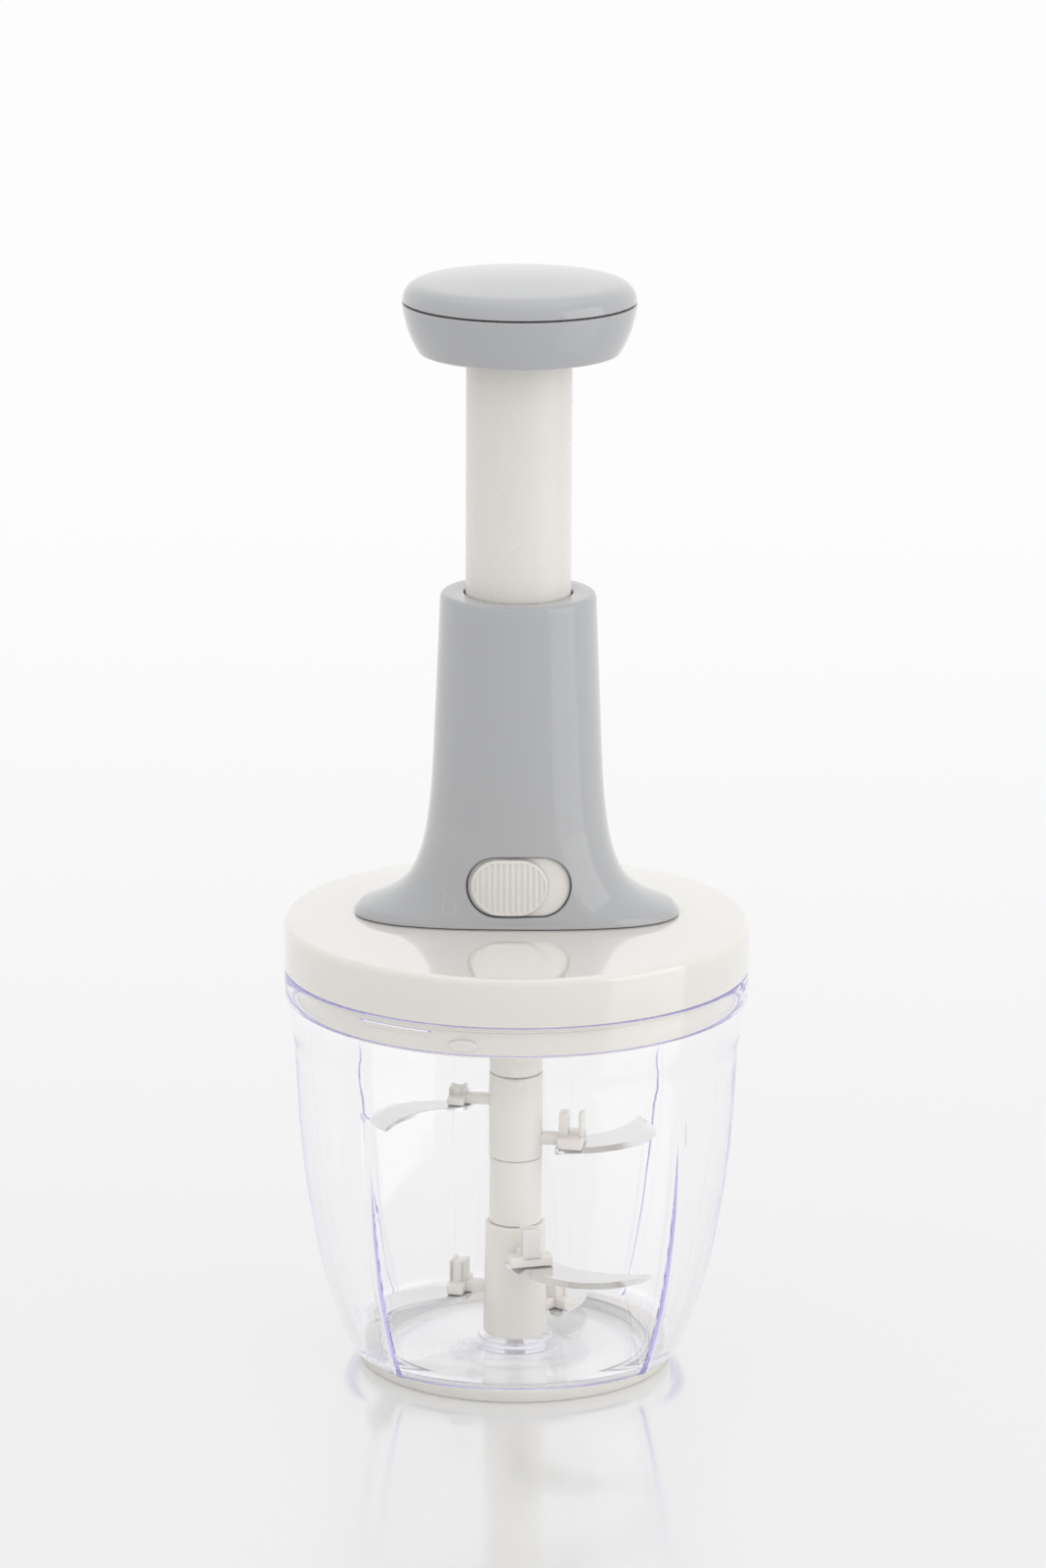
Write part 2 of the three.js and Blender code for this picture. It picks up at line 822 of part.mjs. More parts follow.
// Half sizes and fullness of the tower at a height above the lid crown
function towerSection(height) {
  const share = height / towerHeight;
  const flare = lookUp([[0, 1], ...towerFlareShares, [1, 0]], share);
  const settle = Math.max(0, 1 - share / towerDepthShare);
  const fullness = Math.max(0, 1 - share / towerPowerShare);
  const waist = towerTopRadius + (towerFootHalfDepth - towerTopRadius) * (1 - share) / 2;
  return {
    halfWidth: towerTopRadius + (towerFootHalfWidth - towerTopRadius) * flare,
    halfDepth: waist + (towerFootHalfDepth - towerTopRadius) * settle / 2,
    power: towerTopPower + (towerFootPower - towerTopPower) * fullness,
  };
}

// Point of an oval with full sides
function ovalPoint(halfWidth, halfDepth, power, angle) {
  const [c, s] = [Math.cos(angle), Math.sin(angle)];
  const x = halfWidth * Math.sign(c) * Math.abs(c) ** (2 / power);
  const y = halfDepth * Math.sign(s) * Math.abs(s) ** (2 / power);
  return [x, y];
}

// Ring of tower points, drawn in by an inset, at heights given per point
function towerRing(section, inset, heightAt) {
  return Array.from({ length: largeSegments }, (unused, i) => {
    const angle = (i + 0.5) * fullTurn / largeSegments;
    const { halfWidth, halfDepth, power } = section;
    const [x, y] = ovalPoint(halfWidth - inset, halfDepth - inset, power, angle);
    return [x, y, heightAt(x, y)];
  });
}

// Outer rings of the tower, from the thin foot edge to the rounded top
function towerOutside() {
  const base = lidHeight + crownHeight;
  const foot = towerSection(0);
  const top = towerSection(towerHeight);
  const onCrown = (rise) => (x, y) => crownAt(Math.hypot(x, y)) + seatGap + rise;
  const flare = towerFlareShares.map(([share]) => {
    return towerRing(towerSection(share * towerHeight), 0, () => base + share * towerHeight);
  });
  const round = arcPoints(0, towerHeight - towerTopRound, towerTopRound, 0, 90);
  return [
    towerRing(foot, 0, onCrown(0)),
    towerRing(foot, 0, onCrown(towerEdge)),
    ...flare,
    ...round.map(([reach, height]) => towerRing(top, towerTopRound - reach, () => base + height)),
  ];
}

// Inner rings of the tower, from the bore at the top down to the foot
function towerInside() {
  const base = lidHeight + crownHeight;
  const roof = towerHeight - towerWall;
  const bore = { halfWidth: towerBore, halfDepth: towerBore, power: towerTopPower };
  const wall = towerInsideShares.map((share) => {
    const height = share * towerHeight;
    return towerRing(towerSection(height), towerWall + towerWallSag, () => base + height);
  });
  return [
    towerRing(bore, 0, () => base + towerHeight),
    towerRing(bore, 0, () => base + roof),
    towerRing(towerSection(roof), towerWall, () => base + roof),
    ...wall,
    towerRing(towerSection(0), towerFootInset, (x, y) => crownAt(Math.hypot(x, y)) + seatGap),
  ];
}

// Grey tower shell with screw bosses and the slider slot
function makeTower() {
  const shell = lofted([...towerOutside(), ...towerInside()], false);
  const posts = towerScrewPlaces().map(([x, y]) => {
    const bottom = crownAt(Math.hypot(x, y)) + seatGap;
    return disc(bossRadius, bottom, bottom + bossHeight, tinySegments).translate(x, y, 0);
  });
  const bores = towerScrewPlaces().map(([x, y]) => {
    const bottom = crownAt(Math.hypot(x, y)) + seatGap;
    const bore = disc(screwHoleRadius, bottom - cutOverrun, bottom + bossBoreDepth, tinySegments);
    return bore.translate(x, y, 0);
  });
  const depth = towerFootHalfDepth + cutOverrun - guideRadius;
  const slot = capsule(slotWidth, slotHeight, depth);
  slot.translate(slotOffset, -towerFootHalfDepth - cutOverrun, slotHeightCentre);
  return carved(joined(shell, ...posts), ...bores, slot);
}

// Capsule-shaped block, long side on X, that runs back from y = 0 toward +Y
function capsule(width, height, depth) {
  const radius = height / 2;
  const run = (width - height) / 2;
  const shape = new THREE.Shape();
  shape.absarc(run, 0, radius, -Math.PI / 2, Math.PI / 2, false);
  shape.absarc(-run, 0, radius, Math.PI / 2, 3 * Math.PI / 2, false);
  const geometry = extruded(shape, depth);
  geometry.rotateX(Math.PI / 2);
  geometry.translate(0, depth, 0);
  return cleaned(geometry);
}

// Underside of the lock tooth, just above the flange of the pressed plunger
function toothBottom() {
  return lockedFlangeTop + toothLift;
}

// Window that the slider's stem travels in, for a stem of a given height
function stemWindow(height, front, back) {
  const middle = toothBottom() + stemHeight / 2;
  const half = stemWidth / 2 + runGap;
  return block(
    [toothCentreX - half, toothCentreX + slideTravel + half],
    [front, back],
    [middle - height / 2 - runGap, middle + height / 2 + runGap],
  );
}

// White plate behind the slot that carries the slider
function makeSliderRetainer() {
  const section = towerSection(slotCentreHeight + retainerHeight / 2);
  const outline = (inset) => Array.from({ length: retainerSteps + 1 }, (unused, i) => {
    const x = retainerHalfWidth * (2 * i / retainerSteps - 1);
    const reach = 1 - (Math.abs(x) / (section.halfWidth - inset)) ** section.power;
    return new THREE.Vector2(x, -(section.halfDepth - inset) * reach ** (1 / section.power));
  });
  const front = outline(towerWall + towerWallSag + seatGap);
  const back = outline(towerWall + towerWallSag + seatGap + retainerThickness).reverse();
  const plate = extruded(new THREE.Shape([...front, ...back]), retainerHeight);
  plate.translate(0, 0, slotHeightCentre - retainerHeight / 2);
  return carved(plate, stemWindow(stemHeight, -section.halfDepth, -guideBore));
}

// Ribbed slider with its stem, retaining foot and lock tooth
function makeLockSlider() {
  const section = towerSection(slotCentreHeight);
  const centreX = slotOffset - (slotWidth - buttonWidth) / 2 + buttonRestGap;
  const front = -section.halfDepth - buttonProud;
  const [low, high] = [slotHeightCentre - buttonHeight, slotHeightCentre + buttonHeight];
  const blank = capsule(buttonWidth, buttonHeight, buttonThickness);
  blank.translate(centreX, front, slotHeightCentre);
  const curve = disc(buttonCurveRadius, low, high, largeSegments);
  curve.translate(centreX, front + buttonCurveRadius, 0);
  const grooves = Array.from({ length: ribCount }, (unused, i) => {
    const side = (i - (ribCount - 1) / 2) * ribPitch;
    const fall = side ** 2 / (2 * buttonCurveRadius);
    const x = centreX + side;
    const bottom = front + fall + ribGrooveDepth;
    return block([x - ribGroove / 2, x + ribGroove / 2], [front - cutOverrun, bottom], [low, high]);
  });
  const cap = fromSolid(toSolid(blank).intersect(toSolid(curve)));
  const stemX = [toothCentreX - stemWidth / 2, toothCentreX + stemWidth / 2];
  const stemZ = [toothBottom(), toothBottom() + stemHeight];
  const stem = block(stemX, [front + buttonThickness - joinOverlap, -toothReach], stemZ);
  const middle = toothBottom() + stemHeight / 2;
  const footZ = [middle - stemFootHeight / 2, middle + stemFootHeight / 2];
  const foot = block(stemX, [-guideRadius, stemFootThickness - guideRadius], footZ);
  return joined(carved(cap, ...grooves), stem, foot);
}

// Tube that guides the plunger, with two rails and a window for the lock tooth
function makeGuideTube() {
  const footTop = crownAt(guideFootRadius) - coverWall - seatGap;
  const body = turned([
    [guideBore, guideFloor],
    [guideFootRadius, guideFloor],
    [guideFootRadius, footTop],
    [guideRadius, footTop],
    [guideRadius, guideTop],
    [guideLipBore, guideTop],
    [guideLipBore, guideTop - guideLipHeight],
    [guideBore, guideTop - guideLipHeight],
    [guideBore, guideFloor],
  ], mediumSegments);
  const rails = [0, Math.PI].map((angle) => {
    const rail = block(
      [guideRailReach, guideBore + guideWall / 2],
      [-guideRailWidth / 2, guideRailWidth / 2],
      [footTop, guideTop - guideLipHeight / 2],
    );
    return spun(rail, angle);
  });
  const window = stemWindow(stemFootHeight, -guideRadius - cutOverrun, cutOverrun - toothReach);
  return carved(joined(body, ...rails), window);
}

// Plunger tube with its stop flange and rail notches
function makePlungerTube() {
  const bore = tubeRadius - tubeWall;
  const bottom = tubeBottomHeight;
  const plateBottom = tubeTopHeight - tubeTopPlate;
  const mouth = nutRadius + runGap;
  const shoulder = bottom + nutHeight + runGap;
  const body = turned([
    [mouth, bottom],
    [tubeFlangeRadius, bottom],
    [tubeFlangeRadius, bottom + tubeFlangeHeight],
    [tubeRadius, bottom + tubeFlangeHeight],
    [tubeRadius, tubeTopHeight],
    [centreScrewHole, tubeTopHeight],
    [centreScrewHole, plateBottom - tubeBossDrop],
    [tubeBossRadius, plateBottom - tubeBossDrop],
    [tubeBossRadius, plateBottom],
    [bore, plateBottom],
    [bore, shoulder],
    [mouth, shoulder],
    [mouth, bottom],
  ], mediumSegments);
  const notches = [0, Math.PI].map((angle) => {
    const notch = block(
      [guideRailReach - runGap, tubeFlangeRadius + cutOverrun],
      [-guideRailWidth / 2 - runGap, guideRailWidth / 2 + runGap],
      [bottom - cutOverrun, bottom + tubeFlangeHeight + cutOverrun],
    );
    return spun(notch, angle);
  });
  return carved(body, ...notches);
}

// Lower shell of the knob, with the socket for the plunger tube
function makeKnobBase() {
  const socket = tubeRadius + seatGap;
  const rise = knobPartingHeight - knobFootHeight - knobFootRound;
  const spread = knobRadius - knobFootRadius;
  const foot = knobFootHeight + knobFootRound;
  const outer = knobLowerShares.map(([up, out]) => [knobFootRadius + spread * out, foot + rise * up]);
  const inner = knobInsideShares.map(([up, out]) => {
    return [knobFootRadius + spread * out - knobWall, foot + rise * up];
  });
  const plateBottom = tubeTopHeight + seatGap;
  return turned([
    [centreScrewHole, plateBottom],
    [socket, plateBottom],
    [socket, knobFootHeight],
    [knobFootRadius - knobFootRound, knobFootHeight],
    [knobFootRadius, foot],
    ...outer,
    ...inner,
    [knobFootRadius - knobWall, foot + knobWall],
    [socket + knobSocketWall, foot + knobWall],
    [socket + knobSocketWall, plateBottom + knobPlate],
    [centreScrewHole, plateBottom + knobPlate],
    [centreScrewHole, plateBottom],
  ], mediumSegments);
}

// Upper shell of the knob
function makeKnobCap() {
  const bottom = knobPartingHeight + knobPartingGap;
  const rise = knobDiscHeight - bottom;
  const spread = knobRadius - knobDiscRadius;
  const outer = knobUpperShares.map(([up, out]) => [knobDiscRadius + spread * out, bottom + rise * up]);
  const onCrown = (share) => [knobDiscRadius * share, knobDiscHeight + knobCrownRise * (1 - share * share)];
  const [ceilingRadius, ceilingTop] = onCrown(knobCeilingShare);
  const skirt = knobRadius - knobWall - runGap - knobSkirtWall / 2;
  return turned([
    [0, knobDiscHeight + knobCrownRise - knobCapWall],
    [ceilingRadius, ceilingTop - knobCapWall],
    [knobDiscRadius, knobDiscHeight - knobCapWall],
    [skirt - knobSkirtWall, bottom],
    [skirt - knobSkirtWall, bottom - knobSkirtDrop],
    [skirt, bottom - knobSkirtDrop],
    [skirt, bottom],
    ...outer,
    ...knobCrownShares.map(onCrown),
    [0, knobDiscHeight + knobCrownRise],
  ], mediumSegments);
}

// Flat strip twisted left-handed about the Z axis; its facets lie inside or outside the true surface
function twistedStrip(width, thickness, bottom, top, stepsPerTurn, inside) {
  const steps = Math.round((top - bottom) / rodLead * stepsPerTurn);
  const corners = [[1, 1], [-1, 1], [-1, -1], [1, -1]];
  if (inside) corners.reverse();
  const rings = Array.from({ length: steps + 1 }, (unused, i) => {
    const height = bottom + (top - bottom) * i / steps;
    const angle = -fullTurn * height / rodLead;
    const [c, s] = [Math.cos(angle), Math.sin(angle)];
    return corners.map(([sx, sy]) => {
      const [x, y] = [sx * width / 2, sy * thickness / 2];
      return [x * c - y * s, x * s + y * c, height];
    });
  });
  return lofted(rings, true);
}

// Twisted drive rod with its thrust flange and shank
function makeTwistRod() {
  const flangeBottom = wellTopHeight + runGap;
  const flangeTop = flangeBottom + rodFlangeHeight;
  const shankBottom = driverBottomHeight + driverPlate + seatGap;
  const stripBottom = flangeTop - joinOverlap;
  const strip = twistedStrip(rodWidth, rodThickness, stripBottom, rodTopHeight, rodStepsPerTurn, true);
  const flange = disc(rodFlangeRadius, flangeBottom, flangeTop);
  const shank = disc(rodShankRadius, shankBottom, flangeTop - joinOverlap);
  const boreTop = shankBottom + driveScrewBoreDepth;
  const bore = disc(centreScrewHole, shankBottom - cutOverrun, boreTop, tinySegments);
  return carved(joined(strip, flange, shank), bore);
}

// Nut at the plunger's end that turns the rod as it passes
function makeDriveNut() {
  const body = disc(nutRadius, tubeBottomHeight, tubeBottomHeight + nutHeight, mediumSegments);
  const slot = twistedStrip(
    rodWidth + 2 * runGap,
    rodThickness + 2 * runGap,
    tubeBottomHeight - cutOverrun,
    tubeBottomHeight + nutHeight + cutOverrun,
    nutStepsPerTurn,
    false,
  );
  return carved(body, slot);
}

// Coil spring as one unbroken tube
function coil(radius, wire, bottom, top, turns) {
  const start = bottom + wire;
  const rise = top - bottom - 2 * wire;
  const steps = Math.round(turns * springStepsPerTurn);
  const rings = Array.from({ length: steps + 1 }, (unused, i) => {
    const angle = fullTurn * turns * i / steps;
    const height = start + rise * i / steps;
    return Array.from({ length: springSides }, (none, k) => {
      const around = fullTurn * k / springSides;
      const reach = radius + wire * Math.cos(around);
      return [reach * Math.cos(angle), reach * Math.sin(angle), height + wire * Math.sin(around)];
    });
  });
  return lofted(rings, true);
}

// Washer under the return spring
function makeSpringSeat() {
  const bottom = wellTopHeight + runGap;
  const bore = springRadius - springInset;
  return sleeve(bore, springRadius + springInset, bottom, bottom + seatWasherHeight, smallSegments);
}

// Spring that lifts the plunger
function makeReturnSpring() {
  const bottom = wellTopHeight + runGap + seatWasherHeight + seatGap;
  return coil(springRadius, springWire, bottom, tubeBottomHeight - seatGap, springTurns);
}

// Cover under the clutch, held by three screws
function makeClutchCover() {
  const bore = socketRadius + shaftGap;
  const body = turned([
    [bore, clutchBottomHeight],
    [clutchCoverRadius, clutchBottomHeight],
    [clutchCoverRadius, clutchTopHeight - clutchFlangeHeight],
    [clutchFlangeRadius, clutchTopHeight - clutchFlangeHeight],
    [clutchFlangeRadius, clutchTopHeight],
    [clutchCoverRadius - clutchCoverWall, clutchTopHeight],
    [clutchCoverRadius - clutchCoverWall, clutchBottomHeight + clutchCoverFloor],
    [bore, clutchBottomHeight + clutchCoverFloor],
    [bore, clutchBottomHeight],
  ], mediumSegments);
  const holes = coverScrewAngles().map((angle) => {
    const bottom = clutchTopHeight - clutchFlangeHeight - cutOverrun;
    const hole = disc(screwHoleRadius, bottom, clutchTopHeight + cutOverrun, tinySegments);
    hole.translate(coverScrewCircle, 0, 0);
    return spun(hole, angle);
  });
  return carved(body, ...holes);
}

// Washer between driver and well floor
function makeThrustWasher() {
  const top = wellBottomHeight - seatGap;
  return sleeve(thrustWasherBore, thrustWasherRadius, top - thrustWasherHeight, top, smallSegments);
}

// Ring whose one face carries saw teeth; flat and toothed faces are given by height
function sawRing(bore, radius, flat, low, high, lag) {
  const pitch = 360 / ratchetTeeth;
  const rings = [];
  for (let i = 0; i < ratchetTeeth; i += 1) {
    const start = i * pitch + lag;
    const middle = start + pitch / 2;
    const places = [[start, low], [middle, (low + high) / 2], [start + pitch - ratchetFaceAngle, high]];
    for (const [angle, tip] of places) {
      const [c, s] = [Math.cos(angle * degree), Math.sin(angle * degree)];
      rings.push([
        [bore * c, bore * s, flat],
        [radius * c, radius * s, flat],
        [radius * c, radius * s, tip],
        [bore * c, bore * s, tip],
      ]);
    }
  }
  return lofted(rings, false);
}

// Upper half of the one-way clutch, fixed to the rod
function makeRatchetDriver() {
  const bottom = driverBottomHeight;
  const teeth = sawRing(
    ratchetToothBore,
    ratchetRadius,
    bottom + driverPlate,
    bottom - ratchetToothHeight,
    bottom,
    ratchetLagAngle,
  );
  const body = disc(ratchetRadius, bottom, driverTopHeight, mediumSegments);
  const shankHole = disc(rodShankRadius + runGap, bottom + driverPlate, driverTopHeight + cutOverrun);
  const screwHole = disc(centreScrewHole, bottom - cutOverrun, bottom + 2 * driverPlate, tinySegments);
  return carved(joined(body, teeth), shankHole, screwHole);
}

// Lower half of the clutch, whose splined socket takes the blade spindle
function makeDriveSocket() {
  const bottom = socketBottomHeight;
  const teeth = sawRing(
    ratchetToothBore,
    ratchetRadius,
    socketFlangeBottom + socketFlangeHeight / 2,
    socketTopHeight,
    socketTopHeight + ratchetToothHeight,
    0,
  );
  const flange = disc(ratchetRadius, socketFlangeBottom, socketTopHeight, mediumSegments);
  const neck = disc(socketRadius, bottom, socketFlangeBottom + joinOverlap, columnSegments);
  const bore = disc(socketBore, bottom - cutOverrun, bottom + socketBoreDepth);
  const hollow = carved(joined(flange, neck, teeth), bore);
  const splines = Array.from({ length: dogCount }, (unused, i) => {
    const spline = block(
      [socketBore - splineDepth, socketBore + joinOverlap],
      [-splineWidth / 2, splineWidth / 2],
      [bottom + splineChamfer, bottom + socketBoreDepth + joinOverlap],
    );
    return spun(spline, (i + 0.5) * fullTurn / dogCount);
  });
  return joined(hollow, ...splines);
}

// Spring that keeps the clutch halves together
function makeClutchSpring() {
  const bottom = clutchBottomHeight + clutchCoverFloor + seatGap;
  return coil(clutchSpringRadius, clutchSpringWire, bottom, socketFlangeBottom - seatGap, clutchSpringTurns);
}

// Pan-head screw pointing up, its head's seat at z = 0
function makeScrew(shankRadius, length, headRadius, headHeight) {
  return turned([
    [0, -headHeight],
    [headRadius - headHeight / 3, -headHeight],
    [headRadius, 0],
    [shankRadius, 0],
    [shankRadius, length],
    [0, length],
  ], tinySegments);
}

// Screw on the axis, of a given length
function makeCentreScrew(length) {
  return makeScrew(centreScrewRadius, length, centreScrewHeadRadius, centreScrewHeadHeight);
}

// Hub with blade arms, holders, posts and pegs
function makeHub(profile, arms) {
  const pieces = [turned(profile, columnSegments)];
  for (const { angle, height, post } of arms) {
    const top = height + armHeight;
    const inner = holderReach - holderDepth / 2;
    const outer = holderReach + holderDepth / 2;
    const half = holderWidth / 2;
    const armX = [spindleRadius + hubEdge, inner + joinOverlap];
    const arm = block(armX, [-armWidth / 2, armWidth / 2], [height, top]);
    const holder = block([inner, outer], [-half, half], [height, top]);
    const column = block([inner, outer], [-postWidth / 2, postWidth / 2], [top - armHeight / 2, top + post]);
    const channel = block(
      [holderReach - postChannelWidth / 2, holderReach + postChannelWidth / 2],
      [-postWidth / 2 - cutOverrun, -postWidth / 2 + postChannelDepth],
      [top, top + post + cutOverrun],
    );
    const peg = disc(pegRadius, height - bladeThickness - seatGap, height + joinOverlap, tinySegments);
    peg.translate(holderReach, 0, 0);
    const carrier = joined(arm, holder, carved(column, channel), peg);
    pieces.push(spun(carrier, facing(angle)));
  }
  const bore = disc(spindleRadius + runGap, hubFootHeight - cutOverrun, upperHubTop + cutOverrun);
  return carved(joined(...pieces), bore);
}

// Hub near the bowl floor
function makeLowerHub() {
  const top = lowerHubTop;
  const hub = makeHub([
    [0, hubFootHeight],
    [lowerHubRadius - hubEdge, hubFootHeight],
    [lowerHubRadius, hubFootHeight + hubEdge],
    [lowerHubTopRadius, top - hubEdge],
    [lowerHubTopRadius - hubEdge, top],
    [0, top],
  ], lowerArms);
  const recess = disc(hubRecessRadius, hubFootHeight - cutOverrun, hubRecessTop);
  return carved(hub, recess);
}

// Sleeve between the two hubs
function makeSpacer() {
  const bore = spindleRadius + runGap;
  return sleeve(bore, spacerRadius, lowerHubTop + seatGap, upperHubBottom - seatGap, columnSegments);
}

// Hub near the lid
function makeUpperHub() {
  return makeHub([
    [0, upperHubBottom],
    [upperHubRadius - hubEdge, upperHubBottom],
    [upperHubRadius, upperHubBottom + hubEdge],
    [upperHubRadius, upperHubTop],
    [0, upperHubTop],
  ], upperArms);
}

// Spindle with a blind bore for the pivot pin and drive dogs on its head
function makeBladeSpindle() {
  const bottom = hubRecessTop + runGap;
  const top = upperHubTop + spindleHead;
  const shaft = disc(spindleRadius, bottom, top);
  const dogs = Array.from({ length: dogCount }, (unused, i) => {
    const dog = block([0, dogReach], [-dogWidth / 2, dogWidth / 2], [top - dogHeight, top]);
    return spun(dog, i * fullTurn / dogCount);
  });
  const bore = disc(spindleBore, bottom - cutOverrun, pinTopHeight + runGap, tinySegments);
  return carved(joined(shaft, ...dogs), bore);
}

// Curved blade with a raised tail, for one arm
function makeBlade({ angle, height }) {
  const points = bladeOutlineShares.map(([r, t]) => new THREE.Vector2(bladeReach * r, bladeReach * t));
  const plate = extruded(new THREE.Shape(points), bladeThickness);
  plate.translate(0, 0, height - seatGap - bladeThickness);
  const hole = disc(pegRadius + runGap, height - 2 * bladeThickness, height + cutOverrun, tinySegments);
  hole.translate(holderReach, 0, 0);
  const bend = -holderWidth / 2 - bladeTailGap;
  const tailEnd = bladeReach * Math.min(...bladeOutlineShares.map(([, t]) => t));
  const [flat, tail] = toSolid(carved(plate, hole)).splitByPlane([0, 1, 0], bend);
  const raised = tail.warp((point) => {
    point[2] += bladeTailRise * Math.max(0, bend - point[1]) / (bend - tailEnd);
  });
  return spun(fromSolid(flat.add(raised)), facing(angle));
}

// Surface looks
function look(color, roughness, metalness = 0, opacity = 1) {
  return { color, roughness, metalness, opacity };
}
const whitePlastic = look('#e9e5df', 0.3);
const lidPlastic = look('#ebe8e3', 0.18);
const greyPlastic = look('#a9acb0', 0.14);
const clearPlastic = look('#e6e6f7', 0.05, 0, 0.3);
const softRubber = look('#e4dfd6', 0.6);
const steel = look('#b9b8b4', 0.25, 1);
const acetal = look('#dcdad2', 0.4);

const chopper = new THREE.Group();
chopper.name = 'plunger_food_chopper';

// Add one named piece to the chopper
function addPiece(name, geometry, finish) {
  const tidy = cleaned(geometry);
  tidy.computeVertexNormals();
  const material = new THREE.MeshStandardMaterial({
    color: new THREE.Color(finish.color),
    roughness: finish.roughness,
    metalness: finish.metalness,
    opacity: finish.opacity,
    transparent: finish.opacity < 1,
  });
  material.name = name;
  const mesh = new THREE.Mesh(tidy, material);
  mesh.name = name;
  chopper.add(mesh);
  return mesh;
}

// Bowl group
addPiece('bowl', makeBowl(), clearPlastic);
addPiece('base_ring', makeBaseRing(), softRubber);
addPiece('pivot_pin', makePivotPin(), steel);

// Lid group
addPiece('seal_ring', makeSealRing(), softRubber);
addPiece('inner_lid', makeInnerLid(), whitePlastic);
addPiece('lid_cover', makeLidCover(), lidPlastic);
addPiece('tower', makeTower(), greyPlastic);
addPiece('guide_tube', makeGuideTube(), whitePlastic);
addPiece('slider_retainer', makeSliderRetainer(), whitePlastic);
addPiece('lock_slider', makeLockSlider(), whitePlastic);
addPiece('spring_seat', makeSpringSeat(), steel);
towerScrewPlaces().forEach(([x, y], i) => {
  const screw = makeScrew(screwShankRadius, towerScrewLength, screwHeadRadius, screwHeadHeight);
  const seat = crownAt(Math.hypot(x, y) + screwHeadRadius) - coverWall - seatGap;
  addPiece(`tower_screw_${i + 1}`, screw, steel).position.set(x, y, seat);
});

// Clutch group
addPiece('clutch_cover', makeClutchCover(), whitePlastic);
coverScrewAngles().forEach((angle, i) => {
  const screw = makeScrew(screwShankRadius, coverScrewLength, screwHeadRadius, screwHeadHeight);
  const [x, y] = [coverScrewCircle * Math.cos(angle), coverScrewCircle * Math.sin(angle)];
  const seat = clutchTopHeight - clutchFlangeHeight - seatGap;
  addPiece(`cover_screw_${i + 1}`, screw, steel).position.set(x, y, seat);
});
addPiece('thrust_washer', makeThrustWasher(), steel);
addPiece('ratchet_driver', makeRatchetDriver(), acetal);
addPiece('drive_socket', makeDriveSocket(), acetal);
addPiece('ratchet_spring', makeClutchSpring(), steel);
const driveScrew = makeCentreScrew(driveScrewLength);
addPiece('drive_screw', driveScrew, steel).position.set(0, 0, driverBottomHeight - seatGap);

// Plunger group
addPiece('twist_rod', makeTwistRod(), steel);
addPiece('return_spring', makeReturnSpring(), steel);
addPiece('drive_nut', makeDriveNut(), acetal);
addPiece('plunger_tube', makePlungerTube(), whitePlastic);
addPiece('knob_base', makeKnobBase(), greyPlastic);
addPiece('knob_cap', makeKnobCap(), greyPlastic);
const knobScrew = makeCentreScrew(knobScrewLength);
knobScrew.rotateX(Math.PI);
const knobScrewSeat = tubeTopHeight + 2 * seatGap + knobPlate;
addPiece('knob_screw', knobScrew, steel).position.set(0, 0, knobScrewSeat);

// Blade group
addPiece('blade_spindle', makeBladeSpindle(), acetal);
addPiece('lower_hub', makeLowerHub(), whitePlastic);
addPiece('spacer_sleeve', makeSpacer(), whitePlastic);
addPiece('upper_hub', makeUpperHub(), whitePlastic);
for (const arm of [...lowerArms, ...upperArms]) addPiece(arm.name, makeBlade(arm), steel);

export default chopper;
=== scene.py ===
import math

import bmesh
import bpy
from mathutils import Matrix, Vector


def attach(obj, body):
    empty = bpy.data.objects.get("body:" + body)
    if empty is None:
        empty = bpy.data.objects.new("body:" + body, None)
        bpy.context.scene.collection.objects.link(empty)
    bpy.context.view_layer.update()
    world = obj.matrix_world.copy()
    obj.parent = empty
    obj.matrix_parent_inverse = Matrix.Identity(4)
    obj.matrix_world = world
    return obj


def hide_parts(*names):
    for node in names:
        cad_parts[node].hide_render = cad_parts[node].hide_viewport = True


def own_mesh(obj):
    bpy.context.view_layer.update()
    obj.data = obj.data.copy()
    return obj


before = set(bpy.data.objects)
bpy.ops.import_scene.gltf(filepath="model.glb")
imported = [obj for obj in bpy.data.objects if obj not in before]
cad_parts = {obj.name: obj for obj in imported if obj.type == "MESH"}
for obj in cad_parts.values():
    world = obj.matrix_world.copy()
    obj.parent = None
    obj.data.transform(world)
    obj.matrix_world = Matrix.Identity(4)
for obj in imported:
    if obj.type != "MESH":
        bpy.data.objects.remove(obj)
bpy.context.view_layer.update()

MM = 0.001
DEG = math.pi / 180
POLE = 0.001
SHARP = 32.0

# Driving sizes in millimetres
SEAT, RUN = 0.25, 0.3
FOOT_Z, FLOOR_Z, RIM_BOTTOM, RIM_TOP = 3.75, 5.45, 101.45, 109.65
BODY_R, BODY_H, WALL, WALL_GROWTH = 60.1, 97.7, 2.2, 0.8
LID_Z, COVER_R, CROWN_H, CROWN_FALL = 109.95, 62.4, 15.4, 2.5
TOWER_Z, TOWER_H, TOWER_R = 125.35, 86.6, 20.7
SLOT_Z, SLOT_X, SLOT_W, SLOT_H = 136.45, 0.5, 27.8, 16.3
TUBE_R, TUBE_BOTTOM, TUBE_TOP = 13.95, 190.0, 277.5
KNOB_R, KNOB_FOOT, KNOB_PARTING = 30.9, 276.2, 289.4
FLARE_H, RING_R, RING_BORE = 14.0, 42.21, 37.21
HOLDER_X, HOLDER_D, HOLDER_W = 15.63, 4.5, 11.6
ARM_W, ARM_H = 4.2, 2.8
BLADE_REACH, BLADE_T = 42.23, 1.0

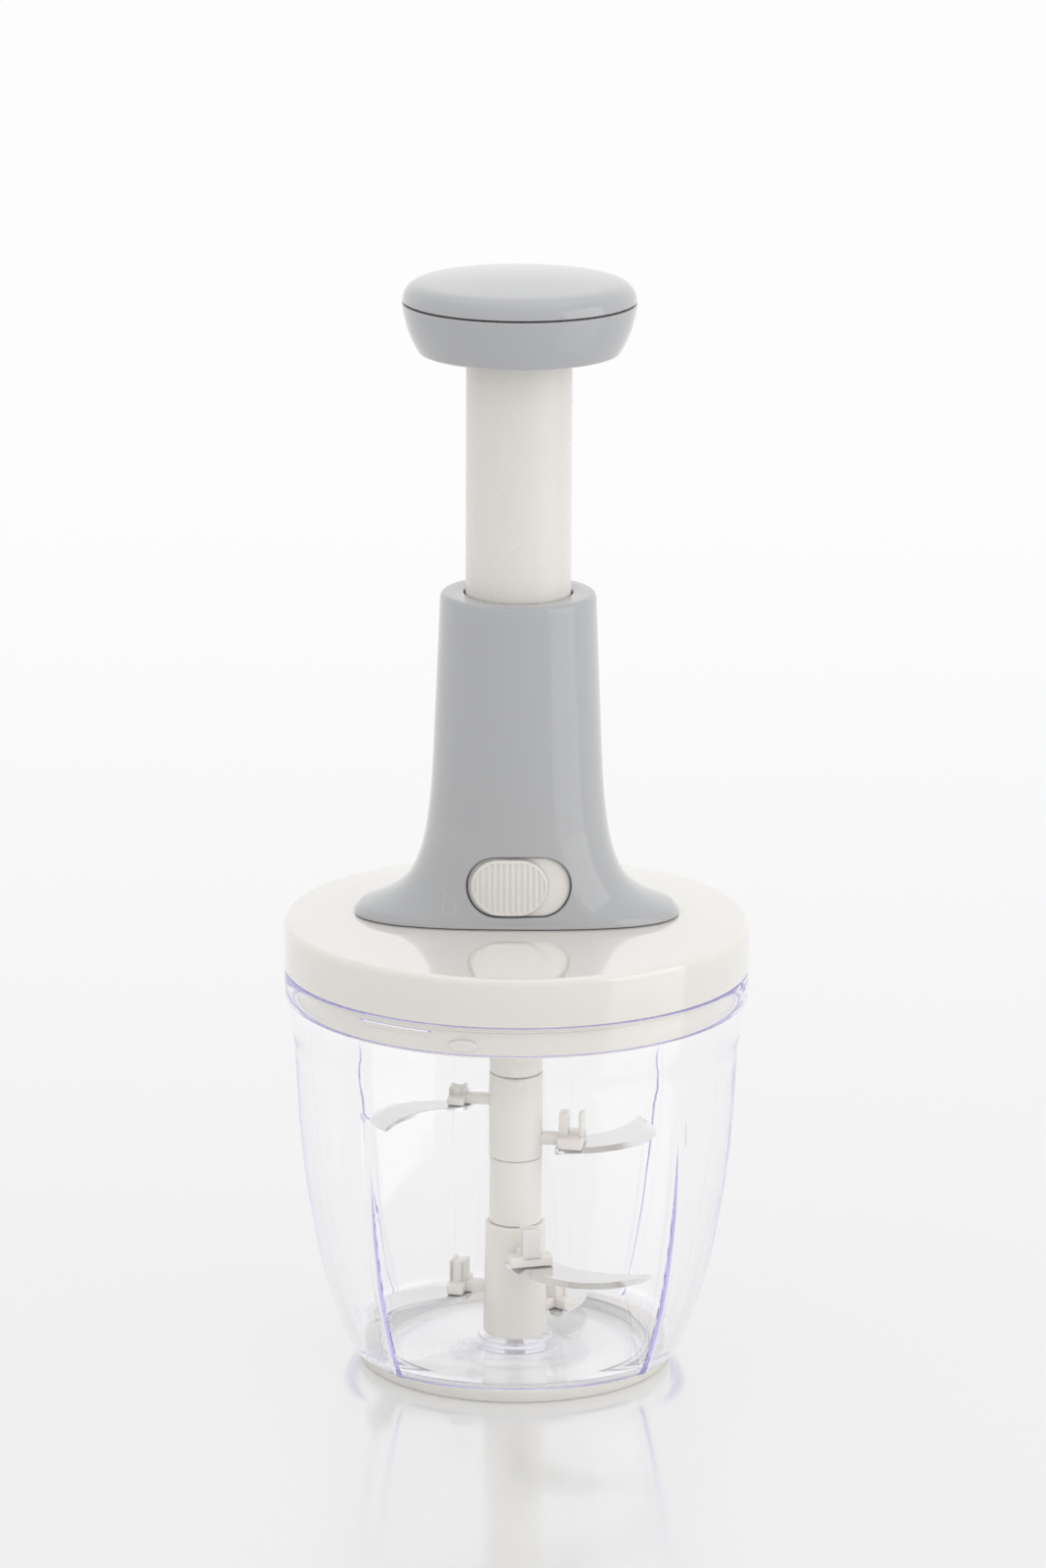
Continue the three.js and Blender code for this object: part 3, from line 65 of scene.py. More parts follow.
# Blades: CAD node, angle from the front in degrees, height of the arm, height of the post
LOWER_ARMS = [
    ("blade_lower_1", 15, 30.1, 7.4),
    ("blade_lower_2", -105, 16.7, 5.9),
    ("blade_lower_3", 135, 9.9, 6.7)]
UPPER_ARMS = [
    ("blade_upper_1", -98, 71.4, 2.0),
    ("blade_upper_2", 82, 59.8, 6.7)]
OPEN_POST_ANGLE = UPPER_ARMS[1][1]


# Places and outlines

def facing(angle):
    """Angle from the front toward the right, as an angle about +Z from +X."""
    return (angle - 90) * DEG


def turn_between(start, angle):
    """Signed turn from one angle to another, from -180 to 180 degrees."""
    return (angle - start + 180) % 360 - 180


def quarter(steps, first=1):
    """Cosine and sine of evenly spaced angles over a quarter turn."""
    angles = [k / steps * math.pi / 2 for k in range(first, steps + 1)]
    return [(math.cos(a), math.sin(a)) for a in angles]


def around(radius, z, segments, offset=0.0):
    """Points round a circle about the Z axis."""
    angles = [2 * math.pi * (j + offset) / segments for j in range(segments)]
    return [(radius * math.cos(a), radius * math.sin(a), z) for a in angles]


def slopes(steps):
    """Slope at each point of a monotone cubic, from the slopes between the points."""
    inner = []
    for before, after in zip(steps, steps[1:]):
        level = before * after <= 0
        inner.append(0 if level else 2 * before * after / (before + after))
    return [steps[0]] + inner + [steps[-1]]


def smooth_table(table):
    """Monotone cubic through [place, value] pairs."""
    xs = [p[0] for p in table]
    ys = [p[1] for p in table]
    d = [(ys[i + 1] - ys[i]) / (xs[i + 1] - xs[i]) for i in range(len(xs) - 1)]
    m = slopes(d)

    def at(x):
        x = min(max(x, xs[0]), xs[-1])
        i = 0
        while i < len(d) - 1 and x > xs[i + 1]:
            i += 1
        h = xs[i + 1] - xs[i]
        t = (x - xs[i]) / h
        return (ys[i] * (1 + 2 * t) * (1 - t) ** 2 + h * m[i] * t * (1 - t) ** 2
                + ys[i + 1] * t * t * (3 - 2 * t) + h * m[i + 1] * t * t * (t - 1))
    return at


def rounded(points, closed=True, steps=5):
    """Outline of (r, z) or (r, z, fillet) points with arcs at the filleted corners."""
    out = []
    n = len(points)
    straight = 1.5
    for i, p in enumerate(points):
        fillet = p[2] if len(p) > 2 else 0
        if not fillet or (not closed and i in (0, n - 1)):
            out.append((p[0], p[1]))
            continue
        a, b, c = Vector(points[i - 1][:2]), Vector(p[:2]), Vector(points[(i + 1) % n][:2])
        u, v = (a - b).normalized(), (c - b).normalized()
        half = u.angle(v) / 2
        if half > straight:
            out.append(tuple(b))
            continue
        reach = min(fillet / math.tan(half), (a - b).length * 0.49, (c - b).length * 0.49)
        radius = reach * math.tan(half)
        centre = b + (u + v).normalized() * (radius / math.sin(half))
        p0, p1 = b + u * reach - centre, b + v * reach - centre
        turn = p0.angle_signed(p1)
        for k in range(steps + 1):
            q = Matrix.Rotation(-turn * k / steps, 2) @ p0
            out.append((centre.x + q.x, centre.y + q.y))
    return out


def capsule_outline(width, height, count=96):
    """Points round a capsule about the origin, and their outward directions."""
    radius, run = height / 2, (width - height) / 2
    out = []
    for k in range(count):
        a = 2 * math.pi * (k + 0.5) / count
        side = run if math.cos(a) > 0 else -run
        out.append((side + radius * math.cos(a), radius * math.sin(a), math.cos(a), math.sin(a)))
    return out


# Mesh objects

def linked(name, data):
    """Object of some data, put into the scene."""
    obj = bpy.data.objects.new(name, data)
    bpy.context.scene.collection.objects.link(obj)
    return obj


def smoothed(mesh, sharp):
    """Smooth shading with sharp edges above an angle."""
    mesh.shade_smooth()
    mesh.set_sharp_from_angle(angle=sharp * DEG)


def new_object(name, verts, faces, sharp=SHARP):
    """Mesh object from millimetre points."""
    mesh = bpy.data.meshes.new(name)
    mesh.from_pydata([Vector(v) * MM for v in verts], [], faces)
    mesh.validate()
    bm = bmesh.new()
    bm.from_mesh(mesh)
    bmesh.ops.remove_doubles(bm, verts=bm.verts, dist=1e-7)
    bmesh.ops.recalc_face_normals(bm, faces=bm.faces)
    bm.to_mesh(mesh)
    bm.free()
    smoothed(mesh, sharp)
    return linked(name, mesh)


def loft(name, rings, closed=True, caps=False, sharp=SHARP):
    """Rings of equally many points joined into a surface; closed joins the last ring to the first."""
    n = len(rings[0])
    verts = [p for ring in rings for p in ring]
    faces = []
    count = len(rings)
    for i in range(count if closed else count - 1):
        a, b = i * n, ((i + 1) % count) * n
        for j in range(n):
            k = (j + 1) % n
            faces.append((a + j, a + k, b + k, b + j))
    if caps and not closed:
        faces.append(tuple(range(n)))
        faces.append(tuple(range((count - 1) * n, count * n)))
    return new_object(name, verts, faces, sharp)


def lathe(name, points, segments=160, closed=True):
    """Outline turned about the Z axis."""
    rings = [around(r, z, segments) for r, z in rounded(points, closed)]
    return loft(name, rings, closed=closed)


def join(name, objects):
    """Several mesh objects as one."""
    bm = bmesh.new()
    for obj in objects:
        part = obj.data.copy()
        part.transform(obj.matrix_basis)
        bm.from_mesh(part)
        bpy.data.meshes.remove(part)
    mesh = bpy.data.meshes.new(name)
    bm.to_mesh(mesh)
    bm.free()
    for obj in objects:
        old = obj.data
        bpy.data.objects.remove(obj)
        bpy.data.meshes.remove(old)
    return linked(name, mesh)


def bevelled_box(name, x, y, z, radius, turn=0.0):
    """Box with rounded edges, turned about the Z axis."""
    bm = bmesh.new()
    bmesh.ops.create_cube(bm, size=1.0)
    for v in bm.verts:
        sides = [(low + high) / 2 + c * (high - low) for c, (low, high) in zip(v.co, (x, y, z))]
        v.co = Vector(sides) * MM
    bmesh.ops.bevel(bm, geom=bm.edges[:], offset=radius * MM, segments=4, profile=0.5, affect="EDGES")
    bmesh.ops.rotate(bm, verts=bm.verts, cent=(0, 0, 0), matrix=Matrix.Rotation(turn, 3, "Z"))
    mesh = bpy.data.meshes.new(name)
    bm.to_mesh(mesh)
    bm.free()
    smoothed(mesh, 40)
    return linked(name, mesh)


def mesh_of(obj):
    """Mesh of an object as it stands with its modifiers."""
    return bpy.data.meshes.new_from_object(obj.evaluated_get(bpy.context.evaluated_depsgraph_get()))


def cut_away(obj, cutter, sharp):
    """Takes the cutter's volume out of a mesh object."""
    mod = obj.modifiers.new("cut", "BOOLEAN")
    mod.operation = "DIFFERENCE"
    mod.object = cutter
    mod.solver = "EXACT"
    bpy.context.view_layer.update()
    cut = mesh_of(obj)
    obj.modifiers.clear()
    obj.data = cut
    smoothed(cut, sharp)
    bpy.data.objects.remove(cutter)


def refined(name, node, sharp=30.0, bevel=0.15):
    """Copy of a CAD node's mesh with smooth shading and softened edges."""
    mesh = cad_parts[node].data.copy()
    mesh.name = name
    bm = bmesh.new()
    bm.from_mesh(mesh)
    bmesh.ops.remove_doubles(bm, verts=bm.verts, dist=1e-6)
    bmesh.ops.dissolve_limit(bm, angle_limit=0.5 * DEG, verts=bm.verts, edges=bm.edges)
    bm.to_mesh(mesh)
    bm.free()
    mesh.materials.clear()
    smoothed(mesh, sharp)
    obj = linked(name, mesh)
    if bevel:
        mod = obj.modifiers.new("edges", "BEVEL")
        mod.width = bevel * MM
        mod.segments = 2
        mod.limit_method = "ANGLE"
        mod.angle_limit = sharp * DEG
    return obj


def finish_piece(obj, body, slot, material, *nodes):
    """Material, body and replaced nodes of one piece."""
    obj.data.materials.clear()
    obj.data.materials.append(material)
    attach(obj, body)
    if nodes:
        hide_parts(*nodes)


# Material nodes

def base_nodes(name):
    """New material with its node tree and its main shader."""
    mat = bpy.data.materials.new(name)
    mat.use_nodes = True
    nodes, links = mat.node_tree.nodes, mat.node_tree.links
    return mat, nodes, links, nodes["Principled BSDF"]


def noise(nodes, links, scale, detail=3.0, stretch=None):
    """Noise fixed to the object, on request stretched along its axes."""
    place = nodes.new("ShaderNodeTexCoord").outputs["Object"]
    if stretch:
        mapping = nodes.new("ShaderNodeMapping")
        mapping.inputs["Scale"].default_value = stretch
        links.new(place, mapping.inputs["Vector"])
        place = mapping.outputs["Vector"]
    tex = nodes.new("ShaderNodeTexNoise")
    tex.inputs["Scale"].default_value = scale
    tex.inputs["Detail"].default_value = detail
    links.new(place, tex.inputs["Vector"])
    return tex.outputs["Fac"]


def spread(nodes, links, source, low, high, start=0.3, end=0.7):
    """A value from start to end spread over low to high."""
    node = nodes.new("ShaderNodeMapRange")
    node.inputs["From Min"].default_value = start
    node.inputs["From Max"].default_value = end
    node.inputs["To Min"].default_value = low
    node.inputs["To Max"].default_value = high
    links.new(source, node.inputs["Value"])
    return node


def mixed(nodes, links, source, low, high):
    """Colour that goes from low to high with a value."""
    mix = nodes.new("ShaderNodeMix")
    mix.data_type = "RGBA"
    mix.inputs["A"].default_value = (*low, 1)
    mix.inputs["B"].default_value = (*high, 1)
    links.new(source, mix.inputs["Factor"])
    return mix.outputs["Result"]


def reckoned(nodes, links, operation, *values):
    """Math node on numbers and outputs of other nodes."""
    node = nodes.new("ShaderNodeMath")
    node.operation = operation
    for socket, value in zip(node.inputs, values):
        if isinstance(value, float):
            socket.default_value = value
        else:
            links.new(value, socket)
    return node.outputs["Value"]


def bumped(nodes, links, shader, height, strength, distance):
    """Fine relief from a height."""
    bump = nodes.new("ShaderNodeBump")
    bump.inputs["Strength"].default_value = strength
    bump.inputs["Distance"].default_value = distance
    links.new(height, bump.inputs["Height"])
    links.new(bump.outputs["Normal"], shader.inputs["Normal"])


# Materials

def plastic(name, color, rough, rough_swing=0.05, tint=0.03, grain=2400.0, grain_depth=0.006,
            coat=0.0, sub=0.0, coat_ior=1.5):
    """Moulded plastic: faint colour drift, polished and handled patches, fine moulded grain."""
    mat, nodes, links, shader = base_nodes(name)
    darker = [c * (1 - tint) for c in color]
    lighter = [min(1, c * (1 + tint * 0.6)) for c in color]
    tone = mixed(nodes, links, noise(nodes, links, 22.0), darker, lighter)
    links.new(tone, shader.inputs["Base Color"])
    patches = noise(nodes, links, 60.0, 4.0)
    rough_map = spread(nodes, links, patches, rough - rough_swing, rough + rough_swing)
    links.new(rough_map.outputs["Result"], shader.inputs["Roughness"])
    fine = noise(nodes, links, grain, 2.0)
    waves = noise(nodes, links, 90.0, 1.0)
    relief = reckoned(nodes, links, "MULTIPLY_ADD", fine, 0.25, waves)
    bumped(nodes, links, shader, relief, 0.25, grain_depth * MM * 4)
    shader.inputs["IOR"].default_value = 1.5
    shader.inputs["Coat Weight"].default_value = coat
    shader.inputs["Coat Roughness"].default_value = 0.05
    shader.inputs["Coat IOR"].default_value = coat_ior
    if sub:
        shader.inputs["Subsurface Weight"].default_value = sub
        shader.inputs["Subsurface Radius"].default_value = (0.9, 0.8, 0.65)
        shader.inputs["Subsurface Scale"].default_value = 0.0015
    return mat


def clear_plastic(name):
    """Clear styrene-like plastic with a faint violet cast that shows along its edges."""
    mat, nodes, links, shader = base_nodes(name)
    shader.inputs["Base Color"].default_value = (1, 1, 1, 1)
    shader.inputs["Transmission Weight"].default_value = 1.0
    shader.inputs["IOR"].default_value = 1.57
    rough_map = spread(nodes, links, noise(nodes, links, 140.0, 4.0), 0.0, 0.02)
    links.new(rough_map.outputs["Result"], shader.inputs["Roughness"])
    bumped(nodes, links, shader, noise(nodes, links, 26.0, 2.0), 0.1, 0.0001)
    absorb = nodes.new("ShaderNodeVolumeAbsorption")
    absorb.inputs["Color"].default_value = (0.62, 0.6, 1.0, 1)
    absorb.inputs["Density"].default_value = 6.0
    links.new(absorb.outputs["Volume"], nodes["Material Output"].inputs["Volume"])
    return mat


def metal(name, color, rough, stretch, scale=400.0, depth=0.01):
    """Steel with drawn or ground streaks."""
    mat, nodes, links, shader = base_nodes(name)
    shader.inputs["Metallic"].default_value = 1.0
    tone = mixed(nodes, links, noise(nodes, links, 30.0), [c * 0.93 for c in color], color)
    links.new(tone, shader.inputs["Base Color"])
    streaks = noise(nodes, links, scale, 4.0, stretch)
    rough_map = spread(nodes, links, streaks, rough * 0.7, rough * 1.4)
    links.new(rough_map.outputs["Result"], shader.inputs["Roughness"])
    bumped(nodes, links, shader, streaks, 0.3, depth * MM)
    return mat


CLEAR = clear_plastic("clear_plastic")
LID_WHITE = plastic("lid_white", (0.775, 0.745, 0.705), 0.07, 0.02, 0.012, coat=1.0, sub=0.25, coat_ior=1.75)
# plug white is a little lighter than the white plastic: painted light that lifts the shade on the plug's
# wall under the cover's skirt
PLUG_WHITE_PAINTED_LIGHT = plastic("plug_white_painted_light", (0.80, 0.775, 0.735), 0.2, 0.03, 0.012, sub=0.25)
# hub white is a lighter copy of the white plastic: painted light that lifts the shade on the hubs, sleeve
# and drive cup inside the bowl
HUB_WHITE_PAINTED_LIGHT = plastic("hub_white_painted_light", (0.9, 0.865, 0.82), 0.24, 0.05, 0.02, sub=0.25)
WHITE = plastic("white_plastic", (0.78, 0.755, 0.72), 0.24, 0.05, 0.02, sub=0.25)
TUBE_WHITE = plastic("tube_white", (0.78, 0.755, 0.715), 0.28, 0.02, 0.012, sub=0.25)
GREY = plastic("grey_plastic", (0.425, 0.43, 0.44), 0.14, 0.03, 0.015, coat=0.5)
ACETAL = plastic("acetal", (0.74, 0.73, 0.69), 0.38, 0.06, 0.03, sub=0.2)
RUBBER = plastic("soft_rubber", (0.76, 0.74, 0.7), 0.5, 0.08, 0.04, 1500.0, 0.02, sub=0.3)
STEEL = metal("steel", (0.66, 0.65, 0.63), 0.24, (1, 1, 0.06))
BLADE = metal("blade_steel", (0.85, 0.85, 0.85), 0.17, (0.15, 1, 1), 260.0, 0.006)
SPRING = metal("spring_steel", (0.58, 0.575, 0.56), 0.2, (1, 1, 0.3), 900.0, 0.004)
SCREW = metal("screw_steel", (0.62, 0.6, 0.56), 0.32, (1, 1, 1), 700.0, 0.008)
# the raised sign is lighter than the tower's grey it stands on: a painted highlight along its raised lines
SIGN_PAINTED_HIGHLIGHT = plastic("raised_sign_painted_highlight", (0.56, 0.57, 0.58), 0.1, 0.03, 0.01)


# Bowl: the rim is thinner than the solid's and its ramps stand inward

RIM_R, RIM_BORE, LEDGE_BORE = 62.2, 60.7, 59.5
RIM_DRAFT, LEDGE_RISE = 0.25, 0.35
UNDER_R, FOOT_R, LIP_W, LIP_Z = 42.9, 43.2, 1.7, 1.75
FLOOR_FILLET, STEP_R, STEP_Z = 2.2, 9.95, 5.95
SQUARENESS, SQUARE_TURN, SQUARE_SHARE = 1.1, 3, 0.76
PIN_R, PIN_BOTTOM, PIN_TOP = 2.0, 5.6, 36.05

# Share of the body's height, share of its radius
BODY_SHARES = [
    (0, 0.719), (0.009, 0.742), (0.0235, 0.76), (0.085, 0.8), (0.167, 0.843), (0.269, 0.885),
    (0.392, 0.922), (0.535, 0.956), (0.679, 0.976), (1, 1)]
RIM_FLARE_SHARES = [(0, 0), (0.12, 0.07), (0.3, 0.28), (0.65, 0.84), (0.82, 0.96), (1, 1)]
body_at = smooth_table(BODY_SHARES)
rim_flare_at = smooth_table(RIM_FLARE_SHARES)
BODY_STEPS, FLARE_STEPS = 56, 14

# Ribs and ramps, with their places and sweeps in degrees
RIDGES = [48, 138, 228, 318]
RIDGE_HALF, RIDGE_H, RIDGE_START_SHARE = 1.75, 1.1, 0.01
FINE_STEP, FINE_COUNT = 0.2, 13
RAMPS = [facing(-42 + 120 * i) / DEG for i in range(3)]
RAMP_SWEEP, RAMP_EASE = 21, 2.4
RAMP_EDGE_TURNS = (-1.2, -0.8, -0.4, 0.0, 0.4, 0.8, 1.2)
RAMP_PROFILE = ((107.8, 0), (107.6, 0.12), (107.2, 0.5), (106.4, 0.5), (106.0, 0.12), (105.8, 0))


def bowl_angles():
    """Angles of the bowl's points: even all round, finer at ribs and at the ends of ramps."""
    values = set(round(i * 1.5, 3) for i in range(240))
    for ridge in RIDGES:
        values = set(v for v in values if abs(turn_between(ridge, v)) > FINE_STEP * FINE_COUNT)
        for k in range(-FINE_COUNT, FINE_COUNT + 1):
            values.add(round((ridge + k * FINE_STEP) % 360, 3))
    for start in RAMPS:
        for edge in (start, start + RAMP_SWEEP):
            for turn in RAMP_EDGE_TURNS:
                values.add(round((edge + turn) % 360, 3))
    return sorted(values)


BOWL_ANGLES = bowl_angles()


def ramp_mask(angle):
    """1 on a ramp, 0 off it, with eased ends."""
    best = 0.0
    for start in RAMPS:
        a = turn_between(start, angle)
        inside = min(a, RAMP_SWEEP - a)
        best = max(best, min(1.0, max(0.0, inside / RAMP_EASE + 0.5)))
    return best


def bowl_ring(radius, z, square=0.0, ridge=0.0, ramp_depth=0.0):
    """Points round the bowl at a height."""
    points = []
    for angle in BOWL_ANGLES:
        near = min(abs(turn_between(r, angle)) for r in RIDGES) / RIDGE_HALF
        bump = (1 - near * near) ** 0.75 if near < 1 else 0.0
        corner = (1 - math.cos(4 * (angle - SQUARE_TURN) * DEG)) / 2
        reach = radius + square * corner + ridge * bump - ramp_depth * ramp_mask(angle)
        points.append((reach * math.cos(angle * DEG), reach * math.sin(angle * DEG), z))
    return points


def square_at(s):
    """How square the wall is at a share of the body's height, from 1 down to 0."""
    return max(0.0, 1 - s / SQUARE_SHARE)


def flat_rings(outline):
    """Rings of the underside and the floor, square outside and round at the middle."""
    return [bowl_ring(r, z, SQUARENESS * min(1.0, r / FOOT_R) ** 6) for r, z in outline]


def wall_at(s):
    """Thickness of the wall at a share of the body's height."""
    return WALL + WALL_GROWTH * (1 - s)


def outside_rings(start):
    """Underside, foot and outside wall up to the flare."""
    lip = RING_BORE - SEAT
    rings = flat_rings(rounded([
        (POLE, FOOT_Z), (lip - LIP_W, FOOT_Z), (lip - LIP_W, LIP_Z, 0.3), (lip, LIP_Z, 0.3),
        (lip, FOOT_Z, 0.2), (UNDER_R, FOOT_Z)], closed=False, steps=3))
    for i in range(1, BODY_STEPS + 1):
        s = (i / BODY_STEPS) ** 1.35 * start
        ridge = RIDGE_H * math.sqrt(square_at(s)) * min(1.0, s / RIDGE_START_SHARE)
        rings.append(bowl_ring(BODY_R * body_at(s), FOOT_Z + s * BODY_H, SQUARENESS * square_at(s), ridge))
    return rings


def rim_rings(body):
    """Flare, rim with the ramps inside it, and ledge."""
    foot = RIM_R - RIM_DRAFT
    ledge_z = RIM_BOTTOM + LEDGE_RISE
    rings = []
    for i in range(1, FLARE_STEPS + 1):
        t = i / FLARE_STEPS
        rings.append(bowl_ring(body + (foot - body) * rim_flare_at(t), RIM_BOTTOM - FLARE_H * (1 - t)))
    rim = rounded([
        (foot, RIM_BOTTOM), (RIM_R - 0.15, RIM_BOTTOM + 3.0), (RIM_R, RIM_TOP, 0.5),
        (RIM_BORE, RIM_TOP, 0.4), (RIM_BORE, RIM_BOTTOM + 1.5)], closed=False, steps=4)
    rings += [bowl_ring(r, z) for r, z in rim[1:-1]]
    rings += [bowl_ring(RIM_BORE, z, ramp_depth=depth) for z, depth in RAMP_PROFILE]
    ledge = rounded([
        (RIM_BORE, 103.0), (RIM_BORE, ledge_z, 0.2), (LEDGE_BORE, ledge_z, 0.2),
        (LEDGE_BORE, RIM_BOTTOM)], closed=False, steps=3)
    rings += [bowl_ring(r, z) for r, z in ledge[1:-1]]
    return rings


def inside_rings(start, body):
    """Inside wall from the flare down, fillet and floor."""
    inner = body - wall_at(start)
    rings = []
    for i in range(FLARE_STEPS + 1):
        t = 1 - i / FLARE_STEPS
        radius = inner + (LEDGE_BORE - inner) * rim_flare_at(t)
        rings.append(bowl_ring(radius, RIM_BOTTOM - FLARE_H * (1 - t)))
    low = (FLOOR_Z - FOOT_Z + FLOOR_FILLET) / BODY_H
    for i in range(1, BODY_STEPS + 1):
        s = start + (low - start) * i / BODY_STEPS
        radius = BODY_R * body_at(s) - wall_at(s)
        rings.append(bowl_ring(radius, FOOT_Z + s * BODY_H, SQUARENESS * square_at(s)))
    foot = BODY_R * body_at(low) - wall_at(0) - FLOOR_FILLET
    for c, s in quarter(8):
        rings.append(bowl_ring(foot + FLOOR_FILLET * c, FLOOR_Z + FLOOR_FILLET * (1 - s), SQUARENESS))
    floor = rounded([(foot, FLOOR_Z), (STEP_R, FLOOR_Z, 0.3), (STEP_R, STEP_Z, 0.25), (POLE, STEP_Z)],
                    closed=False, steps=4)
    return rings + flat_rings(floor[1:])


def make_bowl():
    start = 1 - FLARE_H / BODY_H
    body = BODY_R * body_at(start)
    rings = outside_rings(start) + rim_rings(body) + inside_rings(start, body)
    bowl = loft("bowl_shell", rings, closed=False, sharp=38)
    bowl.visible_shadow = False
    bowl.visible_diffuse = False
    finish_piece(bowl, "bowl", "clear_plastic", CLEAR, "bowl")


def make_foot_ring():
    top = FOOT_Z - SEAT
    ring = lathe("foot_ring", [
        (RING_BORE, 0.0, 0.4), (RING_R, 0.0, 0.9), (RING_R, top, 0.4), (RING_BORE, top, 0.3)])
    finish_piece(ring, "bowl", "soft_rubber", RUBBER, "base_ring")


def make_pin():
    pin = lathe("spindle_pin", [
        (POLE, PIN_BOTTOM), (PIN_R, PIN_BOTTOM), (PIN_R, PIN_TOP, 0.6), (POLE, PIN_TOP)], 48, closed=False)
    finish_piece(pin, "bowl", "steel", STEEL, "pivot_pin")


make_bowl()
make_foot_ring()
make_pin()


# Lid

COVER_BORE, COVER_WALL, CROWN_HOLE, CROWN_CAVITY, SHOULDER = 60.3, 2.1, 17.4, 58.4, 1.9
SKIRT_DROP = 4.5
PLUG_BORE, PLUG_R, PLUG_BOTTOM = 55.4, 59.2, 101.05
NECK_R, SEAL_SHELF, FLANGE_R, FLANGE_TOP = 57.2, 107.75, 60.0, 111.45
WELL_HOLE, WELL_BORE, WELL_R, WELL_BOTTOM, WELL_FLOOR = 4.95, 18.6, 20.2, 105.05, 107.05
BUMP_HALF_W, BUMP_HALF_H, BUMP_Z, BUMP_ANGLE = 3.8, 1.6, 104.05, -13.3
# Reach of each ring of a locking bump and the share of its size there
BUMP_RINGS = ((58.6, 1.0), (59.5, 1.0), (59.72, 0.96), (59.84, 0.88), (59.88, 0.78))
LID_SEGMENTS = 200


def crown_at(r):
    """Height of the cover's top at a radius."""
    return LID_Z + CROWN_H - CROWN_FALL * (r / COVER_R) ** 2


def make_cover():
    shoulder = COVER_R - SHOULDER
    top = crown_at(shoulder)
    profile = [(COVER_BORE, LID_Z, 0.3), (COVER_R, LID_Z, 0.35)]
    profile += [(shoulder + SHOULDER * c, top - SHOULDER + SHOULDER * s) for c, s in quarter(12, 0)]
    for k in range(1, 20):
        r = shoulder + (CROWN_HOLE - shoulder) * k / 20
        profile.append((r, crown_at(r)))
    edge = crown_at(CROWN_HOLE)
    profile += [(CROWN_HOLE, edge, 0.3), (CROWN_HOLE, edge - COVER_WALL, 0.3)]
    for k in range(1, 10):
        r = CROWN_HOLE + (CROWN_CAVITY - CROWN_HOLE) * k / 9
        profile.append((r, crown_at(r) - COVER_WALL))
    profile.append((COVER_BORE, top - SKIRT_DROP))
    cover = lathe("cover_shell", profile, LID_SEGMENTS)
    finish_piece(cover, "lid", "white_plastic", LID_WHITE, "lid_cover")


def locking_bump(angle):
    rings = []
    for reach, grow in BUMP_RINGS:
        points = []
        for k in range(48):
            a = 2 * math.pi * k / 48
            side, up = BUMP_HALF_W * grow * math.cos(a), BUMP_HALF_H * grow * math.sin(a)
            points.append((math.sqrt(reach ** 2 - side ** 2), side, BUMP_Z + up))
        rings.append(points)
    bump = loft("bump", rings, closed=False, caps=True)
    bump.data.transform(Matrix.Rotation(facing(angle), 4, "Z"))
    return bump


def make_inner_lid():
    plug = lathe("plug", [
        (WELL_HOLE, WELL_BOTTOM, 0.2), (WELL_R, WELL_BOTTOM, 0.4), (WELL_R, LID_Z, 0.3),
        (PLUG_BORE, LID_Z, 0.6), (PLUG_BORE, PLUG_BOTTOM, 0.4), (PLUG_R, PLUG_BOTTOM, 0.5),
        (PLUG_R, SEAL_SHELF, 0.2), (NECK_R, SEAL_SHELF, 0.2), (NECK_R, LID_Z, 0.2),
        (FLANGE_R, LID_Z, 0.2), (FLANGE_R, FLANGE_TOP, 0.2), (WELL_BORE, FLANGE_TOP, 0.3),
        (WELL_BORE, WELL_FLOOR, 0.3), (WELL_HOLE, WELL_FLOOR, 0.2)], LID_SEGMENTS)
    bumps = [locking_bump(BUMP_ANGLE + 120 * i) for i in range(3)]
    lid = join("plug_lid", [plug] + bumps)
    # the plug's lighter white is painted light against the shade under the skirt
    finish_piece(lid, "lid", "white_plastic", PLUG_WHITE_PAINTED_LIGHT, "inner_lid")


def make_seal():
    bore, radius, bottom = NECK_R + SEAT, RIM_BORE - RUN, SEAL_SHELF + RUN
    seal = lathe("rim_seal", [
        (bore, bottom, 0.4), (radius, bottom, 0.4), (radius, RIM_TOP, 0.3), (bore, RIM_TOP, 0.4)],
        LID_SEGMENTS)
    finish_piece(seal, "seal", "soft_rubber", RUBBER, "seal_ring")


make_cover()
make_inner_lid()
make_seal()


# Tower

FLARE_REACH, DEPTH_GROWTH, SETTLE_SHARE, SETTLE_SQUARENESS = 22.7, 1.8, 0.3, 0.3
HEM_H, HEM_CLEAR, TOP_ROUND = 0.9, 1.3, 1.4
TOWER_BORE, TOP_WALL, TOWER_WALL, FOOT_WALL = 14.4, 2.0, 2.3, 2.8
TOWER_SEGMENTS = 180
# Share of the tower's height, share of its flare
TOWER_FLARE_SHARES = [
    (0, 1), (0.018, 0.93), (0.03, 0.81), (0.045, 0.67), (0.062, 0.55), (0.085, 0.44), (0.114, 0.348),
    (0.155, 0.269), (0.212, 0.198), (0.293, 0.141), (0.409, 0.097), (0.641, 0.055), (1, 0)]
tower_flare_at = smooth_table(TOWER_FLARE_SHARES)
INSIDE_SHARES = (0.8, 0.6, 0.409, 0.25, 0.16, 0.114, 0.08, 0.055, 0.03)
# Rolled edge of the slot: how far outside it, how deep under the surface
SLOT_ROLL = ((0.4, 0.0), (0.3, 0.015), (0.16, 0.07), (0.06, 0.18), (0.0, 0.4), (0.0, 1.2), (0.0, 2.4))
ROLL_W = SLOT_ROLL[0][0]


def tower_section(height):
    """Half width, half depth and exponent of the tower's outline at a height."""
    s = height / TOWER_H
    settle = max(0.0, 1 - s / SETTLE_SHARE)
    waist = TOWER_R + DEPTH_GROWTH * (1 - s) / 2
    return (TOWER_R + FLARE_REACH * tower_flare_at(s), waist + DEPTH_GROWTH * settle / 2,
            2 + SETTLE_SQUARENESS * settle)


